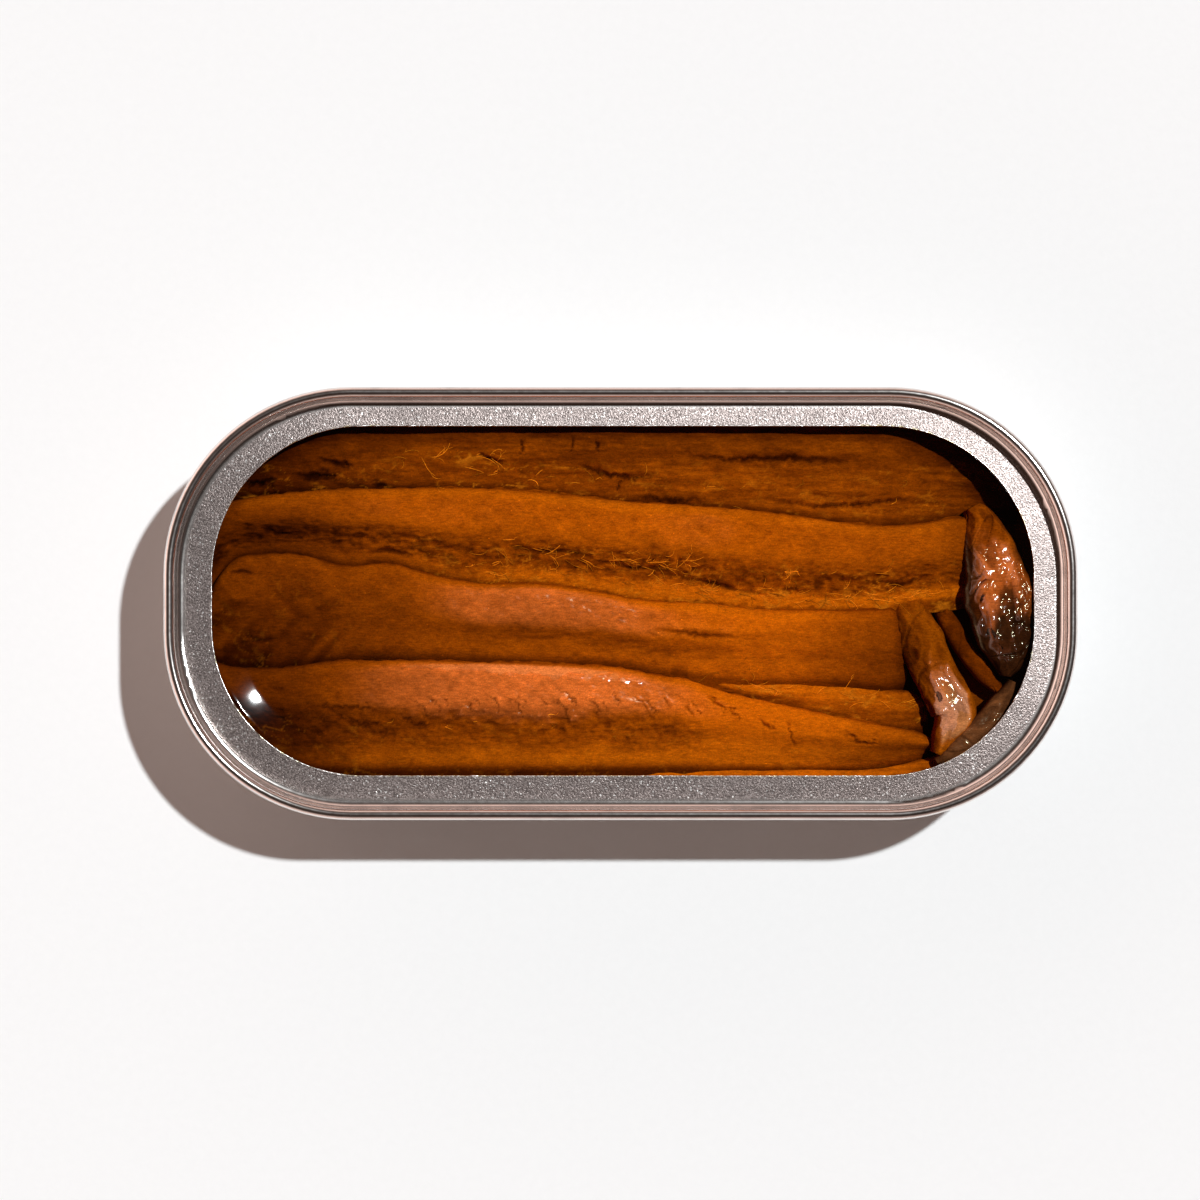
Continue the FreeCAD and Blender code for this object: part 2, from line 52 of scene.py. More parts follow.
WALL = 1.0               # the inner wall's distance from that outline
TEAR = (48.4, 20.6, 17.8, 0.3, 0.3)     # torn edge: half sizes, corner radius, middle
TORN_EDGE = 16.95        # height of its top
FISH_FLOOR = 10.2     # where the undersides of the fillets lie
CONTACT = 0.62           # breadth of the painted shade where one fillet lies on another
FILM = 0.13              # thickness of the oil on what stands out of it
PULL = 0.10              # how softly that film runs into the rest
OIL_BOTTOM = 1.0         # underside of the oil, over the can's base
SUN_AZIMUTH, SUN_HEIGHT = radians(39.5), radians(65)
# The slope that mirrors the sun upwards at one place, and the distance over which it grows by 1.
GLINT_AT, GLINT_SLOPE, GLINT_REACH = (-5, -9), (-0.1733, -0.1492), 1153
AMBER = np.array([0.400, 0.083, 0.0012])
PINK = np.array([0.505, 0.121, 0.0245])
DARK = np.array([0.045, 0.0090, 0.0010])
GOLD = np.array([0.80, 0.235, 0.012])


# --- numbers and noise

def smooth(a, b, x):
    """0 below a, 1 above b, smooth between."""
    t = np.clip((x - a) / (b - a), 0.0, 1.0)
    return t * t * (3 - 2 * t)


def bell(x, middle, width):
    return np.exp(-(((x - middle) / width) ** 2))


def hashed(ix, iy, seed):
    h = (ix.astype(np.int64) * 374761393 + iy.astype(np.int64) * 668265263
         + seed * 1442695041) & 0xFFFFFFFF
    h = ((h ^ (h >> 13)) * 1274126177) & 0xFFFFFFFF
    h = ((h ^ (h >> 16)) * 2246822519) & 0xFFFFFFFF
    return ((h ^ (h >> 15)) & 0xFFFFFF) / float(0xFFFFFF)


def noise(x, y, seed=0):
    """Smooth noise from -1 to 1 with a feature size of one unit."""
    x, y = np.broadcast_arrays(np.asarray(x, float), np.asarray(y, float))
    ix, iy = np.floor(x), np.floor(y)
    fx, fy = x - ix, y - iy
    ux = fx * fx * fx * (fx * (fx * 6 - 15) + 10)
    uy = fy * fy * fy * (fy * (fy * 6 - 15) + 10)
    a, b = hashed(ix, iy, seed), hashed(ix + 1, iy, seed)
    c, d = hashed(ix, iy + 1, seed), hashed(ix + 1, iy + 1, seed)
    return 2 * ((a + (b - a) * ux) * (1 - uy) + (c + (d - c) * ux) * uy) - 1


def fbm(x, y, seed=0):
    return sum(0.5**k * noise(x * 2**k, y * 2**k, seed + 17 * k) for k in range(4)) / 1.9


def ridged(x, y, seed=0, octaves=3):
    """Sharp-crested noise from 0 to 1."""
    crests = ((1 - np.abs(noise(x * 2**k, y * 2**k, seed + 31 * k))) ** 2 for k in range(octaves))
    return sum(0.5**k * crest for k, crest in enumerate(crests)) / (2 - 0.5 ** (octaves - 1))


def turned(x, y, angle):
    """Places along and across a direction given in degrees."""
    a = radians(angle)
    return x * cos(a) + y * sin(a), -x * sin(a) + y * cos(a)


def curve(points, x):
    """A smooth line y(x) through a few points (Catmull-Rom, sorted by x)."""
    px, py = np.array(points, float).T
    slope = np.gradient(py, px)
    x = np.asarray(x, float)
    i = np.clip(np.searchsorted(px, x) - 1, 0, len(px) - 2)
    h = px[i + 1] - px[i]
    t = np.clip((x - px[i]) / h, 0, 1)
    a = (1 + 2 * t) * (1 - t) ** 2
    b = t * (1 - t) ** 2 * h
    c = t * t * (3 - 2 * t)
    d = t * t * (t - 1) * h
    return a * py[i] + b * slope[i] + c * py[i + 1] + d * slope[i + 1]


def distance_to_path(x, y, path):
    """Distance of every point to a broken line, and how far along it the nearest place is."""
    best = np.full(np.shape(x), 1e9)
    along = np.zeros(np.shape(x))
    run = 0.0
    for (ax, ay), (bx, by) in zip(path[:-1], path[1:]):
        length = hypot(bx - ax, by - ay)
        t = np.clip(((x - ax) * (bx - ax) + (y - ay) * (by - ay)) / length**2, 0, 1)
        d = np.hypot(x - ax - t * (bx - ax), y - ay - t * (by - ay))
        near = d < best
        along = np.where(near, run + t * length, along)
        best = np.where(near, d, best)
        run += length
    return best, along / run


def inset_of(x, y, half_x, half_y, corner, mid_x=0.0, mid_y=0.0):
    """Distance inside (positive) a rounded rectangle."""
    qx = np.abs(np.asarray(x, float) - mid_x) - (half_x - corner)
    qy = np.abs(np.asarray(y, float) - mid_y) - (half_y - corner)
    outside = np.hypot(np.maximum(qx, 0), np.maximum(qy, 0))
    return corner - outside - np.minimum(np.maximum(qx, qy), 0)


def outline_point(share, half_x, half_y, corner, mid_x=0.0, mid_y=0.0):
    """Points round a rounded rectangle, even in length from the middle of its right side, with
    the outward direction of each."""
    sx, sy = half_x - corner, half_y - corner
    arc = corner * pi / 2
    s = (share * (4 * sx + 4 * sy + 4 * arc) + sy) % (4 * sx + 4 * sy + 4 * arc)
    x, y, nx, ny = (np.zeros_like(s) for _ in range(4))
    start = 0.0
    for k, (half, side) in enumerate([(half_x, sy), (half_y, sx)] * 2):
        turn = k * pi / 2
        for bend, length in ((False, 2 * side), (True, arc)):
            inside = (s >= start) & (s <= start + length)
            t = s[inside] - start
            a = turn + t / corner if bend else turn + 0 * t
            out = corner if bend else half
            along = 0 * t if bend else t - side
            cx = copysign(sx, cos(turn + 0.7)) if bend else 0.0
            cy = copysign(sy, sin(turn + 0.7)) if bend else 0.0
            x[inside] = cx + out * np.cos(a) - along * np.sin(a)
            y[inside] = cy + out * np.sin(a) + along * np.cos(a)
            nx[inside], ny[inside] = np.cos(a), np.sin(a)
            start += length
    return x + mid_x, y + mid_y, nx, ny


# --- meshes

def placed(name, data):
    made = bpy.data.objects.new(name, data)
    bpy.context.scene.collection.objects.link(made)
    return made


def make_mesh(name, points, faces, colours=None, wet=None):
    """A smooth-shaded mesh piece, from millimetres."""
    mesh = bpy.data.meshes.new(name)
    points = np.asarray(points, float) * MM
    faces = [np.asarray(f, np.int32) for f in faces]
    mesh.vertices.add(len(points))
    mesh.vertices.foreach_set("co", points.astype(np.float32).ravel())
    loops = np.concatenate([f.ravel() for f in faces])
    sides = np.concatenate([np.full(len(f), f.shape[1], np.int32) for f in faces])
    mesh.loops.add(len(loops))
    mesh.loops.foreach_set("vertex_index", loops)
    mesh.polygons.add(len(sides))
    mesh.polygons.foreach_set("loop_start", np.cumsum(sides, dtype=np.int32) - sides)
    mesh.update(calc_edges=True)
    mesh.validate()
    mesh.polygons.foreach_set("use_smooth", np.ones(len(mesh.polygons), bool))
    if colours is not None:
        layer = mesh.color_attributes.new("ToneAndShading", "FLOAT_COLOR", "POINT")
        rgba = np.concatenate([colours, np.ones((len(colours), 1))], 1)
        layer.data.foreach_set("color", rgba.astype(np.float32).ravel())
        layer = mesh.attributes.new("wet", "FLOAT", "POINT")
        layer.data.foreach_set("value", np.asarray(wet, np.float32))
    return placed(name, mesh)


def lattice(n, m, closed):
    """Quads between n rings of m points; the last ring joins the first one where closed."""
    i, j = np.meshgrid(np.arange(n if closed else n - 1), np.arange(m), indexing="ij")
    k, after = (j + 1) % m, (i + 1) % n
    return np.stack([i * m + j, i * m + k, after * m + k, after * m + j], -1).reshape(-1, 4)


def make_tube(name, rings, colours=None, wet=None):
    """A closed piece from an array (rings, around, 3), with a fan at each end."""
    n, m, _ = rings.shape
    j = np.arange(m)
    k, last = (j + 1) % m, (n - 1) * m
    fans = np.concatenate([np.stack([k, j, 0 * j + n * m], -1),
                           np.stack([last + j, last + k, 0 * j + n * m + 1], -1)])

    def with_ends(values):
        return np.concatenate([values.reshape(-1, 3), values[0].mean(0)[None],
                               values[-1].mean(0)[None]])

    if colours is not None:
        colours = with_ends(colours)
        wet = np.concatenate([wet.reshape(-1), [0.0, 0.0]])
    return make_mesh(name, with_ends(rings), [lattice(n, m, False), fans], colours, wet)


def paint(z, shade, gold=0.0):
    """The colour of flesh: amber under the oil, pink where it comes out, times a shade, with
    golden threads in it."""
    depth = OIL_LEVEL - z
    under = smooth(-0.50, 0.45, depth)[..., None]
    deeper = np.array([1.0, 1.15, 1.3])         # dark flesh is redder
    base = (PINK * (1 - under) + AMBER * under) * np.asarray(shade)[..., None] ** deeper
    gold = np.clip(np.asarray(gold, float), 0, 1)[..., None]
    return base * (1 - gold) + GOLD * 0.75 * gold


def wetness(z):
    return 1 - smooth(-0.20, 0.10, OIL_LEVEL - z)


def ring_shade(x, y, z):
    """Flesh grows dark towards the shadow that the ring throws on it, because the light that
    spreads inside it comes from one side only there."""
    sideways = (TORN_EDGE - z) / tan(SUN_HEIGHT)
    s = inset_of(x + sideways * cos(SUN_AZIMUTH),
                         y + sideways * sin(SUN_AZIMUTH), *TEAR)
    return 0.42 + 0.58 * smooth(-0.4, 2.2, s)


def threads(X, Y, seed, angle=0.0, fine=2.4, sharp=0.86):
    """Where thin golden threads show: a net of sharp lines, in patches."""
    u, v = turned(X, Y, angle)
    v = v + 0.35 * fbm(X * 0.9, Y * 0.9, seed)
    net = 1 - np.abs(noise(u * 0.45, v * fine * 0.7, seed + 1))
    second = 1 - np.abs(noise(u * 0.7 + v * 0.8, v * fine * 0.6 - u * 0.5, seed + 4))
    patches = smooth(-0.05, 0.4, fbm(X * 0.45, Y * 0.8, seed + 2))
    return np.maximum(smooth(sharp, 1.0, net), 0.8 * smooth(sharp, 1.0, second)) * patches


# --- the rows of fillets

# Where neighbouring fillets meet, as places in millimetres from the tin's middle.
BACK_UPPER = [
    (-52, 11.5), (-46, 12.2), (-43, 12.7), (-38, 13.3), (-26, 13.7), (-16.5, 13.7), (-7, 13.0),
    (0, 12.2), (9.5, 11.6), (16.5, 11.0), (24.5, 9.9), (30.5, 9.3), (36, 9.6), (40, 10.4),
    (46, 10.8)]
UPPER_MIDDLE = [
    (-52, -3.5), (-50, -1.5), (-49, 0.6), (-47.5, 3.2), (-46, 5.0), (-42.5, 5.9), (-38, 5.9),
    (-32, 4.5), (-28, 4.9), (-21.5, 3.3), (-16.5, 2.5), (-9.5, 2.4), (-3.5, 1.6), (3.5, 0.4),
    (9.5, 0.2), (16.5, -0.6), (23.5, -0.7), (31.5, -0.5), (36, 0.2), (46, 0.8)]
MIDDLE_FRONT = [
    (-52, -5.0), (-47, -7.1), (-41, -7.5), (-34, -6.7), (-26, -6.6), (-16.5, -6.8), (-7, -7.1),
    (0, -7.5), (4.6, -8.4), (8.1, -8.9), (11.6, -10.1), (16.5, -11.3), (24.5, -13.0),
    (30.5, -14.2), (36, -15.3), (40, -16.5)]
MIDDLE_BETWEEN = [
    (4, -8.1), (9, -8.6), (14, -9.2), (21, -9.3), (27, -9.6), (33, -10.2), (38, -10.6)]
FRONT_EDGE = [
    (-52, -12.0), (-45, -16.0), (-41, -18.2), (-37.5, -19.3), (-32, -19.6), (-23.5, -19.5),
    (-7, -19.5), (9.5, -19.4), (21, -19.5), (31, -19.3), (36, -18.4), (40, -17.4)]


def places(x, y, z):
    return np.stack([x, y, z], -1)


def inside_reach(x, clear=0.35):
    """How far from the middle line the inner wall lets a fillet lie."""
    radius = CORNER - WALL - clear
    beyond = np.maximum(0.0, np.abs(x) - (HALF_X - CORNER))
    return HALF_Y - CORNER + np.sqrt(np.maximum(radius**2 - beyond**2, 0.0))


def carve(x, y, path, width, depth, seed, rag):
    """A ragged groove along a path: how much it lowers the surface, and how strongly painted
    shade darkens it.
    """
    d, along = distance_to_path(x + rag * fbm(x * 1.7, y * 1.7, seed),
                                y + rag * fbm(x * 1.7 + 9.1, y * 1.7, seed + 5), path)
    ends = np.sqrt(np.clip(4 * along * (1 - along), 0, 1))
    amount = np.exp(-((d / (width * (0.35 + 0.65 * ends))) ** 2)) * ends
    return depth * amount, amount


def crack(X, Y, dz, shade, cracks, dark, seed, rag=0.25):
    """Cut every crack of a list into a surface, with painted shade in it."""
    for path, width, depth in cracks:
        lower, amount = carve(X, Y, path, width, depth, seed, rag)
        dz, shade = dz - lower, shade * (1 - dark * amount)
    return dz, shade


def row(name, back, front, span, crest, fall, detail, tone_and_shading, under_lap=1.4, step=0.17,
        right_round=0.0):
    """One lengthwise fillet, lying like a shingle: its back edge stands up over the fillet
    behind it and its front runs down under the one before it."""
    x = np.arange(span[0], span[1] + step / 2, step)
    reach = inside_reach(x)
    back_y = np.minimum(back(x), reach)
    front_y = np.maximum(front(x) - under_lap, -reach)
    back_y = np.maximum(back_y, front_y + 0.4)
    if right_round:
        missing = 1 - np.clip(x[-1] - x, 0, right_round) / right_round
        narrow = 1 - np.sqrt(np.clip(1 - missing**2.5, 0, 1))
        middle = back_y * 0.45 + front_y * 0.55
        back_y += (middle - back_y) * narrow * 0.8
        front_y += (middle - front_y) * narrow * 0.8
    width = back_y - front_y
    cells = int(np.ceil(width.max() / step))
    # Points crowd towards the back edge, where the surface turns.
    t = np.linspace(0, 1, cells + 1)
    t = 0.75 * t + 0.25 * t * t
    X = np.repeat(x[:, None], len(t), 1)
    Y = back_y[:, None] - width[:, None] * t
    wander = 0.22 * fbm(X * 0.35, np.zeros_like(X) + 3.3, 91) + 0.10 * noise(X * 1.3, 0 * X, 92)
    Y = Y + wander * (1 - t) ** 3 * smooth(0.3, 1.5, width[:, None])
    D = back_y[:, None] - Y
    seen = np.maximum(back_y - np.maximum(front(x), -reach), 0.3)[:, None]
    T = D / seen
    radius = 1.7
    edge = 1.5 * (1 - np.sqrt(np.clip(1 - (1 - np.clip(D, 0, radius) / radius) ** 2, 0, 1)))
    Z = crest(X) - edge - fall(X, T)
    dz, shade, gold = detail(X, Y, D, T)
    Z += dz
    # the tone along the row: partly the flesh's own, partly painted shading of its slopes
    shade *= curve(tone_and_shading, X)
    # painted shade in a dark contact line where the next fillet lies on this one and at the back
    # edge's steep foot, and a painted highlight on a pale rim at the back
    ahead = seen - D
    shade *= 1 - 0.66 * np.exp(-(np.clip(ahead, 0, None) / CONTACT) ** 1.5)
    painted_rim_light = bell(D, 0.75, 0.6) * (0.7 + 0.5 * fbm(X * 0.4, D * 0.9, 95))
    shade *= (1 + 0.24 * painted_rim_light) * (1 - 0.40 * smooth(0.35, 0.0, D))
    # worn ends that go down, with painted shade over the drop
    ragged = 0.9 * fbm(X * 0.15, Y * 0.55, 96)
    left_end = np.clip(X - x[0] + ragged, 0, 4.0) / 4.0
    right_end = np.clip(x[-1] - X + ragged, 0, 4.5) / 4.5
    for end, fallen in ((left_end, 2.6), (right_end, 3.4)):
        Z -= fallen * (1 - np.sqrt(np.clip(1 - (1 - end) ** 2, 0, 1)))
        shade *= 0.40 + 0.60 * smooth(0.0, 0.55, end)
    Z = np.maximum(Z, FISH_FLOOR + 0.5)
    shade = np.clip(shade * ring_shade(X, Y, Z), 0.02, 1.45)
    colours = paint(Z, shade, gold)
    wet = wetness(Z)
    if right_round:
        frayed = 0.5 * noise(Y * 0.5, 0 * Y, 93) + 0.3 * noise(Y * 1.4, 0 * Y, 94)
        X = X + frayed * smooth(x[-1] - 3.0, x[-1], X)
    # The underside closes the piece: straight down from both edges.
    low = np.full_like(x, FISH_FLOOR)
    under = [places(x, y, z)[:, None] for y, z in
             ((front_y, low), (back_y, low), (Y[:, 0] - 0.1, Z[:, 0] - 1.2))]
    rings = np.concatenate([places(X, Y, Z), *under], 1)
    # painted shade: the sides and underside are dark, and the strip under the back edge is a
    # darker copy of it
    dark = np.repeat((DARK * 0.6)[None, None], len(x), 0)
    colours = np.concatenate([colours, dark, dark, colours[:, :1] * 0.35], 1)
    wet = np.concatenate([wet, np.zeros((len(x), 3))], 1)
    return make_tube(name, rings[:, ::-1], colours[:, ::-1], wet[:, ::-1])


def flesh(X, Y, seed):
    """Fine relief and mottling that all flesh has: height in mm and a factor of shade."""
    dz = 0.12 * fbm(X * 0.40, Y * 0.6, seed) + 0.028 * fbm(X * 2.2, Y * 2.8, seed + 3)
    u, v = 0.82 * X + 0.57 * Y, -0.57 * X + 0.82 * Y
    strands = fbm(u * 0.5 - 0.3 * v, v * 0.22 + u * 1.6, seed + 5)
    mottle = (1 + 0.20 * fbm(X * 0.30, Y * 0.65, seed + 7) + 0.16 * fbm(X * 1.3, Y * 2.0, seed + 9)
              + 0.10 * strands - 0.22 * smooth(0.35, 0.7, fbm(X * 0.75, Y * 1.1, seed + 13)))
    return dz + 0.02 * strands, mottle


def streaked_flesh(X, Y, T, seed, angle, pitch, fade, height, contrast):
    """Flesh with the thin lines that muscle blocks leave, stretched along an angle and gone
    where the fade ends."""
    dz, shade = flesh(X, Y, seed)
    u, v = turned(X, Y, angle)
    v = v + 0.5 * fbm(X * 0.3, Y * 0.3, seed + 10)
    s = (0.6 * noise(u * 0.22, v / pitch, seed + 11)
         + 0.4 * noise(u * 0.5, v * 2.3 / pitch, seed + 12))
    top = 1 - smooth(*fade, T)
    return dz + height * s * top, shade * (1 + contrast * s * top)


def lateral(X, Y, T, low, high, seed, rough=0.45):
    """The rough dark flesh along the side line: how strongly a place is in it, its relief, and
    a mottling that leaves it part dark and part golden; the darkness is partly the flesh's own
    and partly painted shade, darker in its pits and lighter on its torn crests."""
    wobble = 0.07 * fbm(X * 0.22, Y * 0 + 1.0, seed)
    soft = 0.13
    inside = (smooth(low - soft, low + soft, T + wobble)
              * (1 - smooth(high - soft, high + soft, T + wobble)))
    torn = ridged(X * 0.55, Y * 1.25, seed + 2)
    lumps = fbm(X * 0.9, Y * 1.6, seed + 5)
    pits = smooth(0.15, 0.5, fbm(X * 1.3, Y * 2.2, seed + 8))
    dz = inside * rough * (1.0 * (torn - 0.55) + 0.6 * lumps - 0.5 * pits)
    dark = np.clip(0.50 + 0.9 * lumps - 0.9 * (torn - 0.5) + 0.6 * pits, 0, 1.25)
    return inside, dz, dark


def upper_detail(X, Y, D, T):
    dz, shade = streaked_flesh(X, Y, T, 210, -33, 1.1, (0.35, 0.6), 0.035, 0.07)
    left = 1 - smooth(-44, -24, X)
    inside, dl, dark = lateral(X, Y, T, 0.52, 0.86, 230)
    inside = inside * (1 - 0.35 * smooth(25, 38, X))
    dz += dl
    shade *= 1 - 0.66 * inside * (0.35 + 0.65 * dark)
    gold = 0.75 * threads(X, Y, 235, -20) * smooth(0.45, 0.6, T) * smooth(-30, -14, X)
    # the golden band in front of the side line, broken by dark specks
    band = smooth(0.78, 0.92, T) * smooth(-22, 0, X)
    specks = smooth(0.05, 0.5, fbm(X * 1.1, Y * 2.2, 244))
    shade *= 1 + 1.35 * band - 0.95 * band * specks
    gold = np.maximum(gold, 0.6 * band * threads(X, Y, 247, 8, 3.2, 0.8))
    # left end: deep and dark, with a torn zone
    shade *= 1 - 0.26 * left * smooth(0.15, 0.45, T) - 0.14 * left
    zone = bell(X, -38, 6.5) * bell(T, 0.62, 0.22)
    shade *= 1 - 0.42 * zone
    # painted shade where it runs down under the next fillet
    shade *= 1 - 0.45 * smooth(0.96, 1.06, T)
    dz, shade = crack(X, Y, dz, shade, UPPER_CRACKS, 0.8, 251)
    # a shallow hollow beside the folded tail, with painted shade in it
    right = smooth(37, 42, X)
    return dz - 0.6 * right, shade * (1 - 0.25 * right), gold


UPPER_CRACKS = [
    ([(-42.3, 8.8), (-40.6, 8.3), (-39.2, 8.4)], 0.22, 0.5),
    ([(-44.5, 9.3), (-43.2, 9.2)], 0.15, 0.3),
    ([(-30, 5.9), (-27, 6.3), (-24.5, 5.6)], 0.30, 0.5),
    ([(-12, 6.4), (-9.5, 6.1), (-6, 6.2), (-3.2, 5.4)], 0.22, 0.6),
    ([(-2, 5.0), (1.2, 4.2), (4.5, 4.2)], 0.22, 0.5),
    ([(5.5, 3.5), (10, 2.6), (14, 1.6), (17.5, 0.9)], 0.22, 0.5),
    ([(30, 2.6), (33, 2.2), (36.6, 3.3)], 0.20, 0.5),
]

MIDDLE_CRACKS = [
    ([(-46.2, 3.6), (-44.6, 3.8), (-43.3, 3.5)], 0.22, 0.5),
    ([(-44.5, -3.8), (-42.5, -4.4), (-40.5, -4.2)], 0.25, 0.4),
    ([(4, -3.0), (9, -3.6), (14, -4.0)], 0.35, 0.25),
]


def middle_detail(X, Y, D, T):
    dz, shade = streaked_flesh(X, Y, T, 310, -38, 0.95, (0.5, 0.75), 0.035, 0.09)
    left = 1 - smooth(-38, -16, X)
    # chevrons of the dark left part
    v = noise((X + 0.9 * np.abs(Y + 1.5)) * 0.9, Y * 0.15, 331)
    shade *= 1 - left * (0.36 + 0.22 * smooth(0.2, 0.6, T)) + 0.16 * left * v
    dz += 0.06 * left * v
    blots = smooth(-0.05, 0.45, fbm(X * 0.35, Y * 0.5, 341))
    shade *= 1 - 0.45 * left * blots * smooth(0.15, 0.45, T)
    # the dark red stripe of the side line
    stripe = bell(T, 0.66, 0.15) * smooth(-30, -12, X) * (1 - 0.6 * smooth(9, 26, X))
    grain = 0.75 + 0.35 * noise(X * 0.5, Y * 2.5, 351)
    shade *= 1 - 0.50 * stripe * grain
    dz -= 0.18 * stripe
    # painted shade where it runs down under the next fillet
    shade *= 1 - 0.35 * bell(T, 0.97, 0.09) * (X < 8)
    # the right half has a red-brown fleck and a darker front
    fleck = bell(X, 17, 6.5) * bell(Y, -3.9 - 0.04 * (X - 17), 0.8)
    shade *= 1 - 0.35 * fleck
    shade *= 1 - 0.22 * smooth(0.6, 1.0, T) * smooth(5, 15, X)
    dz, shade = crack(X, Y, dz, shade, MIDDLE_CRACKS, 0.75, 361)
    gold = 0.14 * threads(X, Y, 371, -40, 2.0, 0.88) * smooth(0.1, 0.3, T) * left
    return dz, shade, gold


def scallop(k):
    """One of the cracks where the muscle blocks part along the side line."""
    a, b, c = sin(2.3 * k + 0.7), sin(4.1 * k + 1.9), sin(7.7 * k + 0.2)
    x = -24.0 + 1.85 * k + 0.6 * a
    y = -11.7 - 0.6 * b - 0.06 * max(0, x)
    s = 0.8 + 0.35 * c
    path = [(x - 1.1 * s, y + 0.9 * s), (x - 0.1 * s, y + 0.45 * s + 0.3 * b),
            (x + 0.75 * s, y - 0.5 * s), (x + (0.6 + 0.5 * a) * s, y - 1.6 * s)]
    return path, 0.11 + 0.03 * a, 0.30 + 0.08 * c


FRONT_CRACKS = [
    ([(-37.5, -12.0), (-34.5, -12.3), (-31, -12.3), (-27.5, -12.9)], 0.24, 0.6),
    ([(-33.2, -13.3), (-30.5, -14.2), (-27.6, -14.0)], 0.24, 0.6),
    ([(-26.0, -13.2), (-24.0, -14.2), (-22.2, -14.4)], 0.24, 0.5),
    ([(16.0, -13.6), (18.6, -15.2)], 0.16, 0.4), ([(19.5, -14.0), (20.5, -16.8)], 0.15, 0.35),
    ([(26.5, -15.0), (27.6, -16.2), (30.5, -16.4)], 0.18, 0.4),
    *map(scallop, range(21)),
]


def front_detail(X, Y, D, T):
    dz, shade = streaked_flesh(X, Y, T, 410, -30, 1.0, (0.45, 0.7), 0.04, 0.08)
    left = 1 - smooth(-42, -29, X)
    inside, dl, dark = lateral(X, Y, T, 0.44, 0.80, 430, rough=0.38)
    inside = inside * (1 - 0.85 * smooth(5, 14, X))
    dz += dl * (1 - smooth(5, 12, X))
    shade *= 1 - 0.55 * inside * (0.5 + 0.5 * dark)
    shade *= 1 - 0.40 * left - 0.28 * left * smooth(0.3, 0.5, T)
    shade *= 1 + 0.15 * bell(T, 0.90, 0.07)
    # painted shade where it runs down under the next fillet
    shade *= 1 - 0.55 * smooth(0.97, 1.04, T)
    for path, width, depth in FRONT_CRACKS:
        lower, amount = carve(X, Y, path, width, depth, 451, 0.55)
        # painted shade in each crack; its front lip stands up and gets a painted highlight
        lip = [(a + 0.15, b + 0.3) for a, b in path]
        raised = carve(X, Y, lip, width * 1.5, 1.0, 451, 0.55)[1]
        flat = 0.3 + 0.7 * smooth(2, 10, X)
        dz += (0.08 * raised - lower) * flat
        shade *= (1 - 0.62 * amount) * (1 + 0.12 * raised)
    gold = 0.20 * threads(X, Y, 461, -15, 2.6, 0.86) * smooth(0.4, 0.6, T)
    return dz, shade, gold


BACK_CRACKS = [
    ([(-38.5, 15.3), (-37, 14.9), (-35, 15.2), (-33.5, 14.8)], 0.42, 1.2),
    ([(-44, 13.9), (-42, 14.4), (-40.5, 14.6)], 0.30, 0.9),
    ([(-36, 17.0), (-34, 16.9), (-31.5, 16.0)], 0.28, 0.8),
    ([(-29.4, 14.2), (-27.4, 13.9)], 0.30, 0.8),
    ([(-16.8, 17.6), (-15.2, 16.9), (-13.6, 16.6)], 0.32, 0.8),
    ([(-11.6, 19.4), (-11.8, 17.4)], 0.15, 0.6), ([(-5.6, 19.8), (-5.8, 17.6)], 0.14, 0.5),
    ([(-2.8, 19.4), (-2.8, 17.9)], 0.14, 0.5),
    ([(-5.5, 16.4), (-2, 15.4), (1.5, 14.8), (3.8, 14.9)], 0.24, 0.6),
    ([(0.0, 14.6), (-0.6, 13.2)], 0.20, 0.6),
    ([(8, 17.4), (13, 17.0), (20, 17.2), (27, 16.7)], 0.30, 0.5),
    ([(18, 12.0), (24, 11.4), (31, 12.0), (35, 12.3)], 0.22, 0.6),
    ([(2, 12.6), (6, 12.2), (10, 12.2)], 0.25, 0.6),
]


def back_detail(X, Y, D, T):
    dz, shade = flesh(X, Y, 110)
    shade *= 1 + 0.24 * fbm(X * 0.5, Y * 1.1, 121) + 0.22 * fbm(X * 0.16, Y * 0.7, 122)
    shade *= 1 + 0.22 * noise(X * 0.35, Y * 3.0 + 0.6 * fbm(X * 0.3, Y * 0.5, 127), 126)
    dz += 0.25 * fbm(X * 0.3, Y * 0.7, 123) + 0.3 * (ridged(X * 0.25, Y * 0.8, 125) - 0.5)
    # a red-brown band runs along its middle, and its front is broken and golden
    band = bell(Y, 17.2 + 0.4 * np.sin(X * 0.15), 1.0)
    shade *= 1 - 0.30 * band * smooth(-16, 0, X)
    broken = ridged(X * 0.6, Y * 1.3, 131)
    golden = 1 - smooth(15.5, 17.5, Y)
    shade *= 1 + golden * (0.28 * (broken - 0.5))
    left = 1 - smooth(-46, -26, X)
    shade *= 1 - 0.30 * left
    # painted shade towards the ring's edge at the back
    shade *= 1 - 0.30 * smooth(18.6, 20.8, Y)
    # flakes at the left end
    flake = smooth(0.1, 0.35, noise(X * 0.28, Y * 0.6, 141)) * left
    dz += 0.5 * flake
    dz, shade = crack(X, Y, dz, shade, BACK_CRACKS, 0.85, 151, rag=0.4)
    right = smooth(30, 44, X)
    gold = 0.8 * threads(X, Y, 161, -8, 2.2, 0.84) * golden * (0.4 + 0.6 * bell(X, -14, 14))
    tuft = 0.9 * threads(X, Y, 167, 10, 1.8, 0.8) * bell(Y, 17.3, 0.9) * bell(X, -20, 6)
    gold = np.maximum(gold, tuft)
    return dz - 1.2 * right, shade, gold


